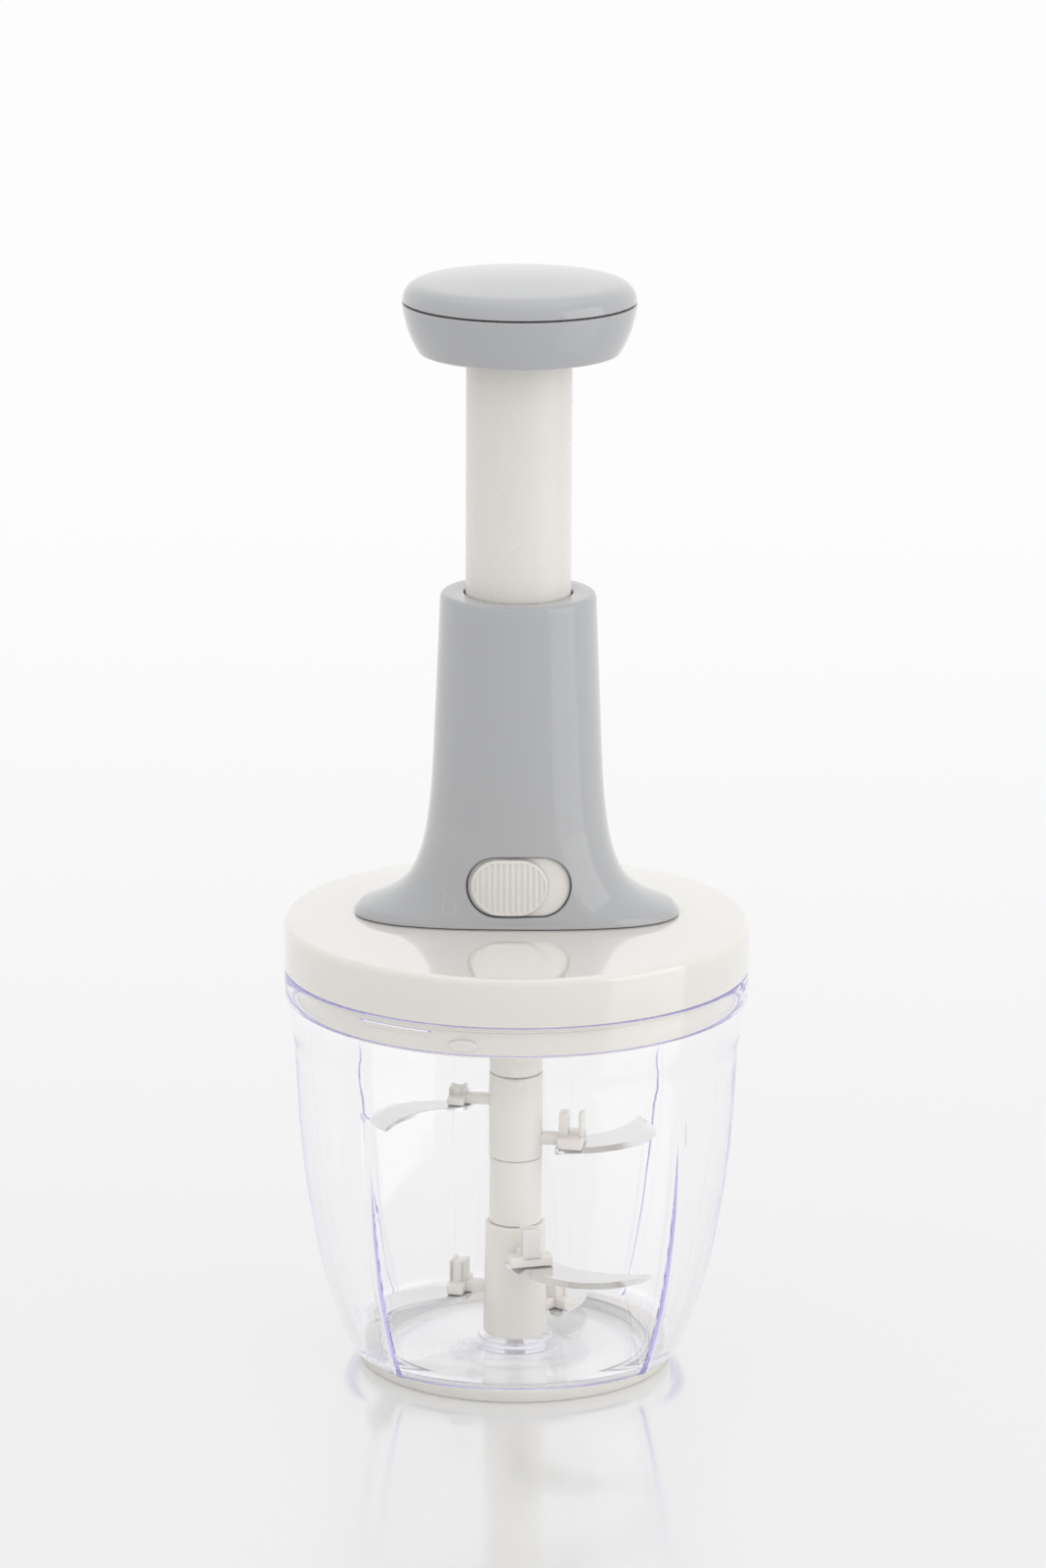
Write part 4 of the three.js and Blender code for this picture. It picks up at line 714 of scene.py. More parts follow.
def tower_ring(height, inset=0.0, z=None):
    """Points round the tower at a height; z stands them at another height or on a surface."""
    a, b, p = tower_section(max(0.0, min(TOWER_H, height)))
    points = []
    for c, s, _ in around(1.0, 0.0, TOWER_SEGMENTS, 0.5):
        x = (a - inset) * math.copysign(abs(c) ** (2 / p), c)
        y = (b - inset) * math.copysign(abs(s) ** (2 / p), s)
        top = z if z is not None else TOWER_Z + height
        points.append((x, y, top(x, y) if callable(top) else top))
    return points


def front_y(x, z, inset=0.0):
    """Front surface of the tower at a place."""
    a, b, p = tower_section(z - TOWER_Z)
    a, b = a - inset, b - inset
    return -b * max(0.0, 1 - abs(x / a) ** p) ** (1 / p)


def on_crown(rise):
    """Height over the cover's top, for tower_ring."""
    return lambda x, y: crown_at(math.hypot(x, y)) + SEAT + rise


def tower_rings():
    """Hem on the cover, outside, rounded top, bore and inside."""
    rings = [tower_ring(0, inset, on_crown(rise))
             for inset, rise in ((0.25, 0), (0, 0.15), (0, 0.75), (0.12, 0.95))]
    steps = 64
    for i in range(1, steps + 1):
        h = HEM_H + (TOWER_H - TOP_ROUND - HEM_H) * (i / steps) ** 1.8
        if h > HEM_CLEAR:
            rings.append(tower_ring(h))
    top = TOWER_Z + TOWER_H
    for c, s in quarter(8):
        rings.append(tower_ring(TOWER_H, TOP_ROUND * (1 - c), top - TOP_ROUND * (1 - s)))
    for grow, drop in ((0.5, 0.0), (0.15, 0.12), (0.0, 0.5), (0.0, TOP_WALL)):
        rings.append(around(TOWER_BORE + grow, top - drop, TOWER_SEGMENTS, 0.5))
    rings.append(tower_ring(TOWER_H - TOP_WALL, TOP_WALL))
    rings += [tower_ring(s * TOWER_H, TOWER_WALL) for s in INSIDE_SHARES]
    rings.append(tower_ring(0, FOOT_WALL, on_crown(0)))
    return rings


def slot_cutter():
    shape = capsule_outline(SLOT_W + 2 * ROLL_W, SLOT_H + 2 * ROLL_W)
    rings = [[(SLOT_X + x, y, SLOT_Z + z) for x, z, _, _ in shape] for y in (-40.0, -14.0)]
    return loft("slot_cutter", rings, closed=False, caps=True)


def slot_edge():
    rings = []
    for grow, depth in SLOT_ROLL:
        points = []
        for x, z, dx, dz in capsule_outline(SLOT_W, SLOT_H):
            px, pz = SLOT_X + x + dx * grow, SLOT_Z + z + dz * grow
            points.append((px, front_y(px, pz) + depth, pz))
        rings.append(points)
    return loft("slot_edge", rings, closed=False, sharp=60)


def make_tower():
    tower = loft("tower_shell", tower_rings(), sharp=35)
    cut_away(tower, slot_cutter(), 35)
    whole = join("tower_body", [tower, slot_edge()])
    finish_piece(whole, "lid", "grey_plastic", GREY, "tower")


make_tower()


# Padlock signs beside the slider

SIGN_HALF, SIGN_FILLET, ARCH_R, ARCH_RISE, ARCH_LEG = 1.75, 0.35, 1.15, 1.3, 0.4
BEAD_R, BEAD_SINK = 0.11, 0.02


def dense(points, step=0.25):
    """More points along straight runs, so that they follow the tower's curve."""
    out = []
    for (x0, z0), (x1, z1) in zip(points, points[1:]):
        n = max(1, int(math.hypot(x1 - x0, z1 - z0) / step))
        out += [(x0 + (x1 - x0) * k / n, z0 + (z1 - z0) * k / n) for k in range(n)]
    return out + [points[-1]]


def bead(name, points):
    """Round bead along (x, z) points on the tower's front."""
    places = [(x, front_y(x, z) + BEAD_SINK, z) for x, z in dense(points)]
    curve = bpy.data.curves.new(name, "CURVE")
    curve.dimensions = "3D"
    spline = curve.splines.new("POLY")
    spline.points.add(len(places) - 1)
    for p, co in zip(spline.points, places):
        p.co = (*[c * MM for c in co], 1)
    curve.bevel_depth = BEAD_R * MM
    curve.bevel_resolution = 2
    obj = linked(name, curve)
    mesh = mesh_of(obj)
    bpy.data.objects.remove(obj)
    mesh.shade_smooth()
    return linked(name, mesh)


def make_sign(name, cx, cz, opened):
    """Raised outline of a padlock."""
    corners = ((-1, -1), (1, -1), (1, 1), (-1, 1))
    body = rounded([(cx + i * SIGN_HALF, cz + k * SIGN_HALF, SIGN_FILLET) for i, k in corners], steps=3)
    body.append(body[0])
    top = cz + SIGN_HALF
    centre = cx - SIGN_HALF - SIGN_FILLET if opened else cx
    arch = [(centre + ARCH_R, top)]
    for k in range(13):
        a = math.pi * k / 12
        arch.append((centre + ARCH_R * math.cos(a), top + ARCH_RISE + ARCH_R * math.sin(a)))
    arch.append((centre - ARCH_R, top + ARCH_LEG if opened else top))
    sign = join(name, [bead("outline", body), bead("arch", arch)])
    # its lighter grey is a painted highlight along the raised lines
    finish_piece(sign, "lid", "grey_plastic", SIGN_PAINTED_HIGHLIGHT)


make_sign("sign_unlocked", -17.9, 130.6, True)
make_sign("sign_locked", 18.9, 131.6, False)


# Slider

BUTTON_W, BUTTON_H, BUTTON_SHIFT, BUTTON_PROUD, BUTTON_ROLL = 20.4, 15.3, 1.2, 0.5, 0.8
BUTTON_DEPTHS, BUTTON_DEPTH, END_THIN, FACE_CURVE = (0.7, 1.1, 1.55), 1.55, 0.75, 70
RIB_COUNT, RIB_PITCH, GROOVE_DEPTH, GROOVE_MARGIN = 12, 1.55, 0.42, 0.55
STEM_X, STEM_END, STEM_Z = (-3.5, -0.5), -16.8, (133.5, 136.5)
STEM_FOOT_Y, STEM_FOOT_Z = (-17.3, -16.6), (132.0, 138.0)
BUTTON_FRONT = -tower_section(SLOT_Z - TOWER_Z)[1] - BUTTON_PROUD
BUTTON_R, BUTTON_RUN = BUTTON_H / 2, (BUTTON_W - BUTTON_H) / 2


def button_surface(x, z):
    """Front of the slider at a place: bowed, rolled at the edge, grooved."""
    edge = BUTTON_R - math.hypot(max(0.0, abs(x) - BUTTON_RUN), z)
    drop = 0.0
    if edge < BUTTON_ROLL:
        drop = BUTTON_ROLL - math.sqrt(max(0.0, BUTTON_ROLL ** 2 - (BUTTON_ROLL - edge) ** 2))
    grooved = abs(x) < RIB_COUNT * RIB_PITCH / 2 + 0.1
    inside = min(1.0, max(0.0, (edge - GROOVE_MARGIN) / 0.5)) if grooved else 0.0
    groove = GROOVE_DEPTH * (0.5 + 0.5 * math.cos(2 * math.pi * x / RIB_PITCH)) ** 0.8
    return BUTTON_FRONT + x * x / FACE_CURVE + drop + groove * inside


def grid_faces(columns, rows, first=0):
    """Faces of a grid whose points run along its rows."""
    corners = [first + i * (rows + 1) + k for i in range(columns) for k in range(rows)]
    return [(a, a + rows + 1, a + rows + 2, a + 1) for a in corners]


def button_face(centre):
    """Grooved front of the slider."""
    columns, rows = 180, 40
    verts = []
    for i in range(columns + 1):
        x = -math.cos(math.pi * i / columns) * (BUTTON_W / 2 - 0.01)
        h = math.sqrt(max(1e-6, BUTTON_R ** 2 - max(0.0, abs(x) - BUTTON_RUN) ** 2))
        for k in range(rows + 1):
            z = h * math.sin(math.pi * (k / rows - 0.5))
            verts.append((centre + x, button_surface(x, z), SLOT_Z + z))
    return new_object("slider_face", verts, grid_faces(columns, rows), sharp=60)


def button_wall(centre):
    """Side and back of the slider, thinner toward its ends."""
    inset_share = 0.999
    rings = []
    for depth in BUTTON_DEPTHS:
        points = []
        for x, z, _, _ in capsule_outline(BUTTON_W, BUTTON_H, 120):
            back = min(depth, BUTTON_DEPTH - END_THIN * (x / (BUTTON_W / 2)) ** 2)
            y = BUTTON_FRONT + x * x / FACE_CURVE + back
            points.append((centre + x * inset_share, y, SLOT_Z + z * inset_share))
        rings.append(points)
    return loft("slider_wall", rings, closed=False, caps=True, sharp=60)


def make_slider():
    centre = SLOT_X - (SLOT_W - BUTTON_W) / 2 + BUTTON_SHIFT
    stem = bevelled_box("stem", STEM_X, (BUTTON_FRONT + 1.2, STEM_END), STEM_Z, 0.2)
    foot = bevelled_box("foot", STEM_X, STEM_FOOT_Y, STEM_FOOT_Z, 0.2)
    whole = join("slider_button", [button_face(centre), button_wall(centre), stem, foot])
    finish_piece(whole, "slider", "white_plastic", WHITE, "lock_slider")


make_slider()


# Plate behind the slider: a sheet and a raised pad, both open where the stem runs

SHEET_HALF, SHEET_TALL, SHEET_DEPTHS = 15.5, 18.5, (2.55, 3.35)
PAD_GAP, PAD_DEPTH, PAD_ROUND = 0.5, 1.3, 0.4
# How far inside the pad's outline, how deep under the tower's surface
PAD_EDGE = ((0.0, 2.7), (0.0, 1.6), (0.15, 1.4), (PAD_ROUND, PAD_DEPTH))
HOLE_X, HOLE_Y, HOLE_Z = (-4.1, 5.9), (-26.0, -12.0), (133.0, 137.0)


def plate_sheet():
    columns, rows = 64, 12
    top = SLOT_Z + SHEET_TALL / 2
    verts = []
    for depth in SHEET_DEPTHS:
        for i in range(columns + 1):
            x = -SHEET_HALF + 2 * SHEET_HALF * i / columns
            y = front_y(x, top, depth)
            verts += [(x, y, SLOT_Z - SHEET_TALL / 2 + SHEET_TALL * k / rows) for k in range(rows + 1)]
    size = (columns + 1) * (rows + 1)
    faces = grid_faces(columns, rows) + grid_faces(columns, rows, size)
    step = rows + 1
    level = [(i * step + k, step) for i in range(columns) for k in (0, rows)]
    upright = [(i * step + k, 1) for k in range(rows) for i in (0, columns)]
    faces += [(a, a + to, a + to + size, a + size) for a, to in level + upright]
    return new_object("sheet", verts, faces, sharp=40)


def plate_pad():
    outline = capsule_outline(SLOT_W - PAD_GAP, SLOT_H - PAD_GAP)

    def ring(shrink, depth, share=1.0):
        flat = [(SLOT_X + (x - dx * shrink) * share, SLOT_Z + (z - dz * shrink) * share)
                for x, z, dx, dz in outline]
        return [(x, front_y(x, z, depth), z) for x, z in flat]

    rings = [ring(shrink, depth) for shrink, depth in PAD_EDGE]
    rings += [ring(PAD_ROUND, PAD_DEPTH, 1 - k / 11 * 0.999) for k in range(1, 12)]
    return loft("pad", rings, closed=False, caps=True, sharp=50)


def make_plate():
    parts = [plate_sheet(), plate_pad()]
    for part in parts:
        cut_away(part, bevelled_box("hole", HOLE_X, HOLE_Y, HOLE_Z, 0.3), 45)
    plate = join("slot_plate", parts)
    finish_piece(plate, "lid", "white_plastic", WHITE, "slider_retainer")


make_plate()


# Plunger and knob

TUBE_BORE, COLLAR_R, COLLAR_BORE, COLLAR_TOP, COLLAR_DEEP = 11.45, 15.3, 12.3, 193.0, 198.3
SCREW_HOLE, HEAD_HOLE, BOSS_BOTTOM, TUBE_CEILING = 1.5, 4.5, 268.5, 274.5
SOCKET_R, SOCKET_TOP, KNOB_WALL = 14.2, 277.75, 2.2
KNOB_FLOOR, KNOB_BOSS_R, KNOB_BOSS_TOP = 279.3, 16.2, 279.75
# Side of the knob from its foot up, with fillets
KNOB_SIDE = [(26.0, KNOB_FOOT, 0.3), (26.6, 276.5, 0.5), (27.05, 277.3, 1.5), (28.35, 279.7, 4),
             (29.65, 283.1, 5), (30.6, 287.0, 6)]
CAP_BOTTOM, SPIGOT_BOTTOM, SPIGOT_BORE, SPIGOT_R = 289.9, 286.5, 26.2, 27.7
# Edge of the cap from its parting line up to the dome
CAP_EDGE = [(KNOB_R - 0.35, CAP_BOTTOM), (KNOB_R - 0.14, 290.05), (30.72, 290.4), (30.62, 291.0),
            (30.4, 291.8), (29.98, 292.65), (29.4, 293.4), (28.75, 293.96), (28.0, 294.4),
            (27.2, 294.72), (26.4, 294.93)]
CAP_UNDERSIDE = [(POLE, 294.5), (12.9, 294.1), (25.8, 293.0, 1), (27.0, CAP_BOTTOM, 0.3)]
DOME_R, DOME_FOOT, DOME_H = 25.8, 295.0, 1.5


def make_tube():
    tube = lathe("plunger_sleeve", [
        (COLLAR_BORE, TUBE_BOTTOM, 0.2), (COLLAR_R, TUBE_BOTTOM, 0.4), (COLLAR_R, COLLAR_TOP, 0.4),
        (TUBE_R, COLLAR_TOP, 0.2), (TUBE_R, TUBE_TOP, 0.3), (SCREW_HOLE, TUBE_TOP, 0.1),
        (SCREW_HOLE, BOSS_BOTTOM, 0.1), (HEAD_HOLE, BOSS_BOTTOM, 0.3), (HEAD_HOLE, TUBE_CEILING, 0.3),
        (TUBE_BORE, TUBE_CEILING, 0.5), (TUBE_BORE, COLLAR_DEEP, 0.2),
        (COLLAR_BORE, COLLAR_DEEP, 0.1)], 128)
    finish_piece(tube, "plunger", "white_plastic", TUBE_WHITE, "plunger_tube")


def make_knob():
    low = lathe("knob_lower", [
        (SCREW_HOLE, SOCKET_TOP), (SOCKET_R, SOCKET_TOP, 0.2), (SOCKET_R, KNOB_FOOT, 0.25), *KNOB_SIDE,
        (KNOB_R, KNOB_PARTING - 0.25, 0.2), (KNOB_R - 0.25, KNOB_PARTING, 0.1),
        (KNOB_R - KNOB_WALL, KNOB_PARTING, 0.2), (27.5, 283.0, 3), (24.7, KNOB_FLOOR, 1.0),
        (KNOB_BOSS_R, KNOB_FLOOR, 0.5), (KNOB_BOSS_R, KNOB_BOSS_TOP, 0.2),
        (SCREW_HOLE, KNOB_BOSS_TOP)], 180)
    finish_piece(low, "plunger", "grey_plastic", GREY, "knob_base")
    profile = CAP_UNDERSIDE + [
        (SPIGOT_BORE, 289.6), (SPIGOT_BORE, SPIGOT_BOTTOM, 0.2), (SPIGOT_R, SPIGOT_BOTTOM, 0.2),
        (SPIGOT_R, CAP_BOTTOM, 0.2)] + CAP_EDGE
    for k in range(1, 15):
        r = DOME_R * (1 - k / 14)
        profile.append((max(POLE, r), DOME_FOOT + DOME_H * (1 - (r / DOME_R) ** 2)))
    top = lathe("knob_upper", profile, 180, closed=False)
    finish_piece(top, "plunger", "grey_plastic", GREY, "knob_cap")


make_tube()
make_knob()


# Hubs

HUB_BORE, PIN_BORE, HUB_SEGMENTS = 3.6, 2.3, 96
LOW_HUB_R, LOW_HUB_TOP_R, LOW_HUB_BOTTOM, LOW_HUB_TOP, LOW_HUB_SHELF = 8.6, 8.1, 6.6, 37.5, 12.2
SLEEVE_R = 7.05
HIGH_HUB_R, HIGH_HUB_BOTTOM, HIGH_HUB_TOP = 7.25, 56.1, 79.7
ARM_START, CHEEK_HALF, CHEEK_ROOT, WEB_BACK = 4.0, 2.5, 1.0, 2.1
PEG_R, PEG_BELOW, PEG_ABOVE = 1.2, 1.25, 0.4
# The open post of the right upper carrier stands longer along its arm than its solid
OPEN_CHEEKS = ((12.0, 14.4), (17.3, 18.6))
CHEEKS = ((HOLDER_X - HOLDER_D / 2, HOLDER_X - 1.0), (HOLDER_X + 1.0, HOLDER_X + HOLDER_D / 2))


def carrier(angle, height, post):
    """Arm, holder, post and peg of one blade."""
    turn = facing(angle)
    top = height + ARM_H
    opened = angle == OPEN_POST_ANGLE
    cheeks = OPEN_CHEEKS if opened else CHEEKS
    inner, outer = cheeks[0][0], cheeks[1][1]
    holder_y = (-HOLDER_W / 2, HOLDER_W / 2)
    parts = [
        bevelled_box("arm", (ARM_START, inner + 0.6), (-ARM_W / 2, ARM_W / 2), (height, top), 0.3, turn),
        bevelled_box("holder", (inner, outer), holder_y, (height, top), 0.35, turn)]
    for along in cheeks:
        upright = (top - CHEEK_ROOT, top + post)
        parts.append(bevelled_box("cheek", along, (-CHEEK_HALF, CHEEK_HALF), upright, 0.4, turn))
    if not opened:
        upright = (top - CHEEK_ROOT, top + post - 0.3)
        across = (-WEB_BACK, CHEEK_HALF)
        parts.append(bevelled_box("web", (inner + 0.4, outer - 0.4), across, upright, 0.3, turn))
    low, high = height - PEG_BELOW, height + PEG_ABOVE
    peg = lathe("peg", [(POLE, low), (PEG_R, low, 0.2), (PEG_R, high), (POLE, high)], 24, closed=False)
    peg.data.transform(Matrix.Rotation(turn, 4, "Z") @ Matrix.Translation((HOLDER_X * MM, 0, 0)))
    return parts + [peg]


def make_hub(name, node, profile, arms):
    parts = [lathe("core", profile, HUB_SEGMENTS)]
    for _, angle, height, post in arms:
        parts += carrier(angle, height, post)
    finish_piece(join(name, parts), "blades", "white_plastic", HUB_WHITE_PAINTED_LIGHT, node)


def make_sleeve():
    low, high = LOW_HUB_TOP + SEAT, HIGH_HUB_BOTTOM - SEAT
    sleeve = lathe("hub_sleeve", [
        (HUB_BORE, low, 0.1), (SLEEVE_R, low, 0.3), (SLEEVE_R, high, 0.3), (HUB_BORE, high, 0.1)],
        HUB_SEGMENTS)
    finish_piece(sleeve, "blades", "white_plastic", HUB_WHITE_PAINTED_LIGHT, "spacer_sleeve")


make_hub("hub_low", "lower_hub", [
    (PIN_BORE, LOW_HUB_BOTTOM, 0.1), (LOW_HUB_R, LOW_HUB_BOTTOM, 0.5), (LOW_HUB_TOP_R, LOW_HUB_TOP, 0.35),
    (HUB_BORE, LOW_HUB_TOP, 0.1), (HUB_BORE, LOW_HUB_SHELF), (PIN_BORE, LOW_HUB_SHELF)], LOWER_ARMS)
make_hub("hub_high", "upper_hub", [
    (HUB_BORE, HIGH_HUB_BOTTOM, 0.1), (HIGH_HUB_R, HIGH_HUB_BOTTOM, 0.4), (HIGH_HUB_R, HIGH_HUB_TOP, 0.3),
    (HUB_BORE, HIGH_HUB_TOP, 0.1)], UPPER_ARMS)
make_sleeve()


# Blades

# Outline of a blade in shares of its reach, from the tail round to the tip and back
BLADE_SHARES = [
    (0.277, -0.161), (0.345, -0.128), (0.404, -0.112), (0.473, -0.097), (0.582, -0.052), (0.695, 0.028),
    (0.785, 0.128), (0.842, 0.246), (0.865, 0.374), (0.851, 0.496), (0.8, 0.6), (0.722, 0.692),
    (0.702, 0.622), (0.671, 0.506), (0.615, 0.402), (0.539, 0.305), (0.44, 0.217), (0.345, 0.161),
    (0.293, 0.11), (0.274, 0.0), (0.262, -0.085)]
TAIL_POINT, TIP_POINT, HEEL_POINT = 0, 11, 18
# Start and easing of the ground bevel, in points of the outline
GROUND_START, GROUND_EASE_IN, GROUND_EASE_OUT = 0.4, 2.0, 1.6
GROUND_W, EDGE_W, EDGE_T, BACK_DROP = 2.4, 0.12, 0.12, 0.1
TAIL_LIFT = 1.3


def bevel_at(place):
    """Width of the bevel at a place along the outline."""
    if not GROUND_START < place < TIP_POINT:
        return EDGE_W
    ease_in = min(1.0, (place - GROUND_START) / GROUND_EASE_IN)
    ease_out = min(1.0, (TIP_POINT - place) / GROUND_EASE_OUT)
    return GROUND_W * ease_in * ease_out + EDGE_W


def blade_outline():
    """Smooth outline with its three sharp corners kept, and the width of the bevel at each point."""
    pts = [Vector(p) * BLADE_REACH for p in BLADE_SHARES]
    n = len(pts)
    corners = (TAIL_POINT, TIP_POINT, HEEL_POINT)
    out = []
    for i in range(n):
        p0, p1, p2, p3 = pts[i - 1], pts[i], pts[(i + 1) % n], pts[(i + 2) % n]
        if i in corners:
            p0 = p1 * 2 - p2
        if (i + 1) % n in corners:
            p3 = p2 * 2 - p1
        for k in range(6):
            t = k / 6
            q = 0.5 * ((2 * p1) + (p2 - p0) * t + (2 * p0 - 5 * p1 + 4 * p2 - p3) * t * t
                       + (3 * p1 - p0 - 3 * p2 + p3) * t ** 3)
            out.append((q, bevel_at(i + t)))
    return out


def blade_points(height):
    """Underside, ground edge and top of a blade, as three rings of points."""
    outline = blade_outline()
    n = len(outline)
    low, high = height - SEAT - BLADE_T, height - SEAT
    area = sum(a[0].x * b[0].y - b[0].x * a[0].y for a, b in zip(outline, outline[1:] + outline[:1]))
    side = 1 if area > 0 else -1
    under, edge, top = [], [], []
    for i, (q, bevel) in enumerate(outline):
        d = (outline[(i + 1) % n][0] - outline[i - 1][0]).normalized()
        inner = q + Vector((-d.y, d.x)) * side * bevel
        ground = bevel > 0.2
        under.append((q.x, q.y, low))
        edge.append((q.x, q.y, low + (EDGE_T if ground else BLADE_T - BACK_DROP)))
        top.append((inner.x, inner.y, high))
    return under, edge, top


def lift_tail(bm):
    """Bends the tail up behind the holder."""
    bend = -HOLDER_W / 2 - 0.3
    tail = BLADE_SHARES[TAIL_POINT][1] * BLADE_REACH
    for y in (bend, bend - 0.5, bend - 1.1):
        everything = bm.verts[:] + bm.edges[:] + bm.faces[:]
        bmesh.ops.bisect_plane(bm, geom=everything, plane_co=(0, y * MM, 0), plane_no=(0, 1, 0))
    for v in bm.verts:
        y = v.co.y / MM
        if y < bend:
            v.co.z += TAIL_LIFT * MM * (bend - y) / (bend - tail)


def make_blade(node, angle, height):
    under, edge, top = blade_points(height)
    n = len(under)
    faces = [tuple(range(n))]
    for ring in (0, n):
        for i in range(n):
            k = (i + 1) % n
            faces.append((ring + i, ring + k, ring + n + k, ring + n + i))
    faces.append(tuple(range(2 * n, 3 * n)))
    mesh = bpy.data.meshes.new(node + "_fine")
    mesh.from_pydata([Vector(v) * MM for v in under + edge + top], [], faces)
    bm = bmesh.new()
    bm.from_mesh(mesh)
    bmesh.ops.recalc_face_normals(bm, faces=bm.faces)
    bmesh.ops.triangulate(bm, faces=[f for f in bm.faces if len(f.verts) > 4])
    lift_tail(bm)
    bmesh.ops.rotate(bm, verts=bm.verts, cent=(0, 0, 0), matrix=Matrix.Rotation(facing(angle), 3, "Z"))
    bm.to_mesh(mesh)
    bm.free()
    smoothed(mesh, 12)
    finish_piece(linked(node + "_fine", mesh), "blades", "steel", BLADE, node)


for node, angle, height, _ in LOWER_ARMS + UPPER_ARMS:
    make_blade(node, angle, height)


# Pieces made from CAD nodes, and nodes shown as they are

REFINED = {
    "guide_tube": ("guide_sleeve", "lid", "white_plastic", WHITE),
    "clutch_cover": ("clutch_housing", "lid", "white_plastic", WHITE),
    # the drive cup wears the lighter hub white as painted light against the shade under the plug
    "drive_socket": ("drive_cup", "socket", "acetal", HUB_WHITE_PAINTED_LIGHT),
    "ratchet_driver": ("clutch_driver", "drive", "acetal", ACETAL),
    "drive_nut": ("nut", "plunger", "acetal", ACETAL),
    "blade_spindle": ("spindle", "blades", "acetal", ACETAL),
    "twist_rod": ("twisted_rod", "drive", "steel", STEEL),
}
for node, (name, body, slot, material) in REFINED.items():
    finish_piece(refined(name, node), body, slot, material, node)

# the spring, which shortens from 81 to 21 mm as the plunger is pressed home, is shown as its CAD node
# stands, with a mesh of its own
press_spring = refined("press_spring", "return_spring", 60.0, 0.0)
finish_piece(press_spring, "lid", "steel", SPRING, "return_spring")
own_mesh(press_spring)


def metal_for(name):
    """Steel of a node that is shown as it is."""
    if "spring" in name and "seat" not in name:
        return SPRING
    return SCREW if "screw" in name else STEEL


for name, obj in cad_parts.items():
    if obj.hide_render:
        continue
    obj.data.materials.clear()
    obj.data.materials.append(metal_for(name))


# Floor, lights and camera, with places and sizes in metres

FLOOR_HALF = 9.0
LIT_GREY, SEEN_GREY, OWN_LIGHT = 0.92, 0.32, 0.35
UNDER_BOWL_OUT, UNDER_BOWL_IN, UNDER_BOWL_PAINTED_LIGHT = 0.037, 0.030, 0.13
FADE_LENGTH, BACKDROP = 1.6, 0.985
MIDDLE = (0, 0, 0.15)
CAM_PLACE, CAM_DOWN, CAM_ROLL, CAM_LENS, CAM_SHIFT = (0, -1.723, 0.603), 14.44, 0.27, 153.47, 0.00356


def looked_at(nodes, links):
    """1 for camera, transmission and glossy rays, 0 for the rest."""
    path = nodes.new("ShaderNodeLightPath").outputs
    first = reckoned(nodes, links, "MAXIMUM", path["Is Camera Ray"], path["Is Transmission Ray"])
    return reckoned(nodes, links, "MAXIMUM", first, path["Is Glossy Ray"])


def floor_light(nodes, links, place, seen):
    """The floor's own white where it is looked at, with a painted pool of light under the bowl that lifts
    the shade there.
    """
    own = reckoned(nodes, links, "MULTIPLY", seen, OWN_LIGHT)
    away = nodes.new("ShaderNodeVectorMath")
    away.operation = "LENGTH"
    links.new(place, away.inputs[0])
    # painted light in a disc under the bowl, lifting the shade cast there by the lid and hubs
    under = spread(nodes, links, away.outputs["Value"], 0.0, UNDER_BOWL_PAINTED_LIGHT, UNDER_BOWL_OUT, UNDER_BOWL_IN)
    return reckoned(nodes, links, "MULTIPLY_ADD", seen, under.outputs["Result"], own)


def floor_material():
    mat, nodes, links, shader = base_nodes("floor_surface")
    place = nodes.new("ShaderNodeTexCoord").outputs["Object"]
    shader.inputs["Roughness"].default_value = 0.13
    shader.inputs["IOR"].default_value = 1.8
    shader.inputs["Coat Weight"].default_value = 1.0
    shader.inputs["Coat Roughness"].default_value = 0.14
    shader.inputs["Coat IOR"].default_value = 2.7
    # part of its white is its own where it is looked at, so that shadows stay soft
    seen = looked_at(nodes, links)
    base = mixed(nodes, links, seen, [LIT_GREY] * 3, [SEEN_GREY] * 3)
    links.new(base, shader.inputs["Base Color"])
    shader.inputs["Emission Color"].default_value = (1, 1, 1, 1)
    links.new(floor_light(nodes, links, place, seen), shader.inputs["Emission Strength"])
    # it fades into a white backdrop behind the object
    split = nodes.new("ShaderNodeSeparateXYZ")
    links.new(place, split.inputs["Vector"])
    fade = spread(nodes, links, split.outputs["Y"], 0.0, 1.0, 0.0, FADE_LENGTH)
    fade.interpolation_type = "SMOOTHSTEP"
    share = reckoned(nodes, links, "MULTIPLY", fade.outputs["Result"], seen)
    glow = nodes.new("ShaderNodeEmission")
    glow.inputs["Color"].default_value = (1, 1, 1, 1)
    glow.inputs["Strength"].default_value = BACKDROP
    both = nodes.new("ShaderNodeMixShader")
    links.new(share, both.inputs["Fac"])
    links.new(shader.outputs["BSDF"], both.inputs[1])
    links.new(glow.outputs["Emission"], both.inputs[2])
    links.new(both.outputs["Shader"], nodes["Material Output"].inputs["Surface"])
    return mat


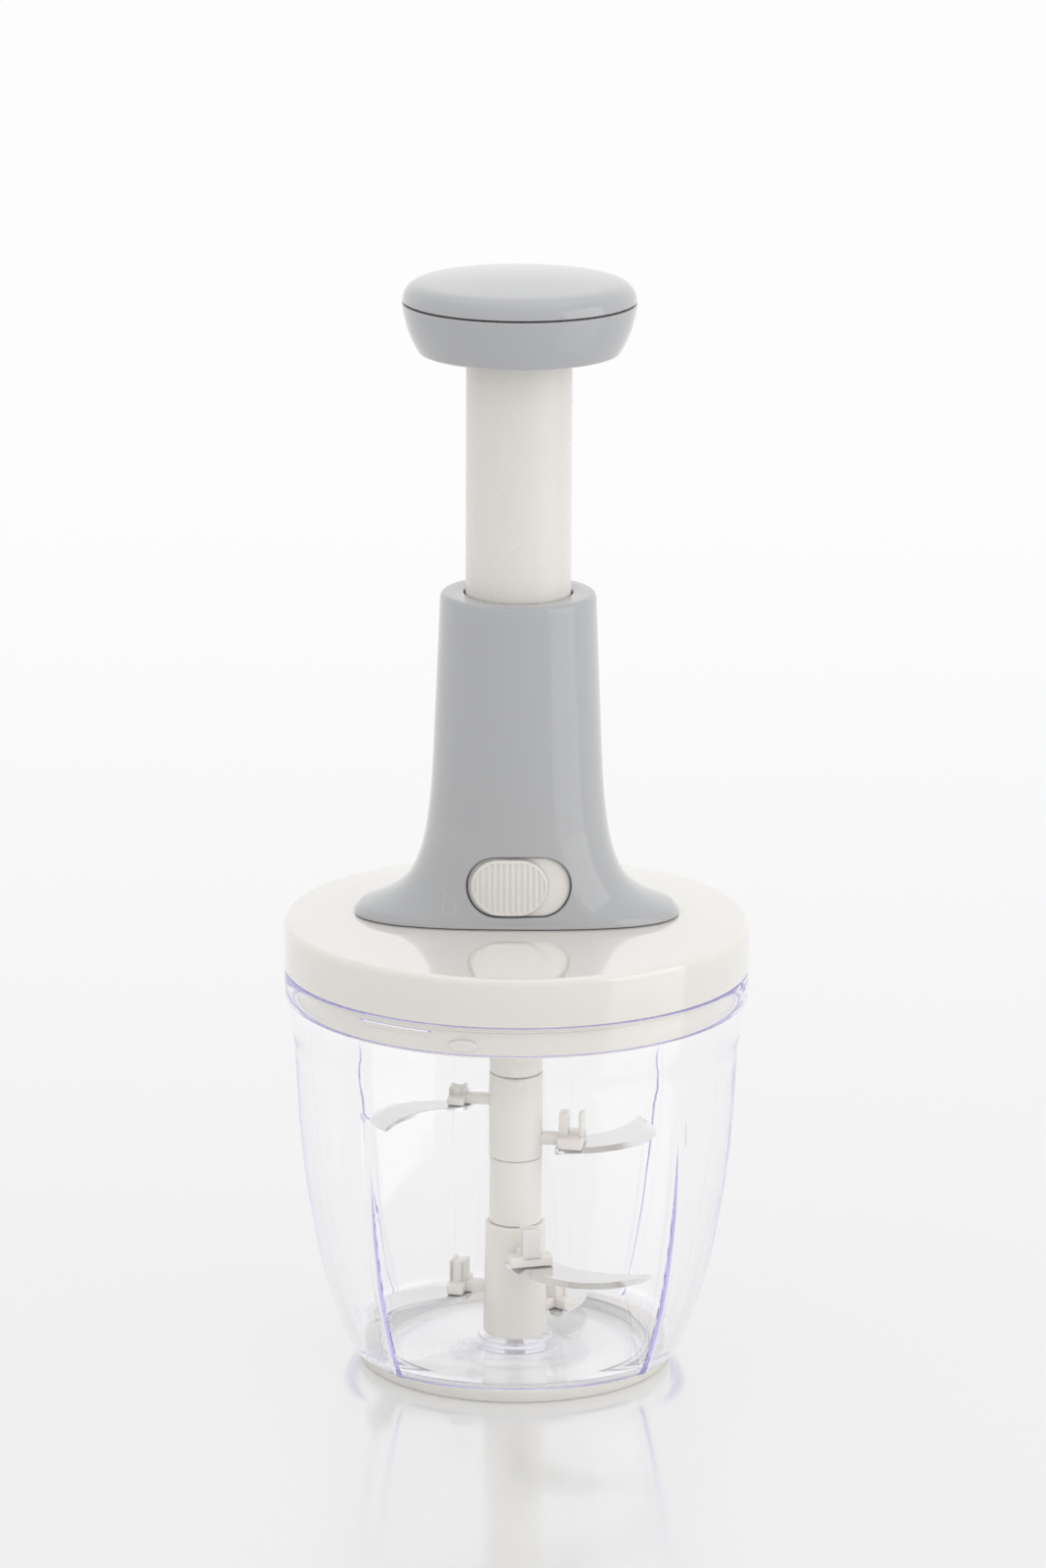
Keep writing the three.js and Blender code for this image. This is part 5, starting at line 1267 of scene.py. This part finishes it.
def make_floor():
    verts = [(x * FLOOR_HALF, y * FLOOR_HALF, 0) for y in (-1, 1) for x in (-1, 1)]
    mesh = bpy.data.meshes.new("floor")
    mesh.from_pydata(verts, [], [(0, 1, 3, 2)])
    obj = linked("floor", mesh)
    mesh.materials.append(floor_material())


def soft_box(name, place, target, size, radiance):
    """Rectangular lamp turned toward a place."""
    data = bpy.data.lights.new(name, "AREA")
    data.shape = "RECTANGLE"
    data.size, data.size_y = size
    data.energy = radiance * math.pi * size[0] * size[1]
    obj = linked(name, data)
    obj.location = place
    obj.rotation_euler = (Vector(target) - Vector(place)).to_track_quat("-Z", "Y").to_euler()
    return obj


def make_lights():
    soft_box("light_top", (0.0, 0.1, 1.6), MIDDLE, (1.6, 1.2), 0.3)
    right = soft_box("light_right", (1.45, -0.6, 0.6), MIDDLE, (1.3, 1.2), 0.9)
    right.visible_transmission = False
    back = soft_box("light_back", (0.1, 1.9, 0.85), (0, 0, 0.05), (0.9, 0.5), 3.2)
    back.visible_glossy = False
    back.visible_camera = False
    back.visible_transmission = False
    world = bpy.data.worlds.new("studio")
    bpy.context.scene.world = world
    world.use_nodes = True
    backdrop = world.node_tree.nodes["Background"]
    backdrop.inputs["Color"].default_value = (1, 1, 1, 1)
    backdrop.inputs["Strength"].default_value = 0.975


def make_camera():
    data = bpy.data.cameras.new("camera")
    data.lens = CAM_LENS
    data.sensor_width = 36.0
    data.sensor_fit = "AUTO"
    data.shift_x = CAM_SHIFT
    data.clip_end = 60
    cam = linked("camera", data)
    tilt = Matrix.Rotation((90 - CAM_DOWN) * DEG, 4, "X")
    cam.matrix_world = Matrix.Translation(CAM_PLACE) @ tilt @ Matrix.Rotation(CAM_ROLL * DEG, 4, "Z")
    bpy.context.scene.camera = cam


make_floor()
make_lights()
make_camera()
bpy.context.scene.view_settings.view_transform = "Standard"
# the thick clear ribs pass light on many times before it leaves them
bpy.context.scene.cycles.max_bounces = 128
bpy.context.scene.cycles.glossy_bounces = 100
bpy.context.scene.cycles.transmission_bounces = 100
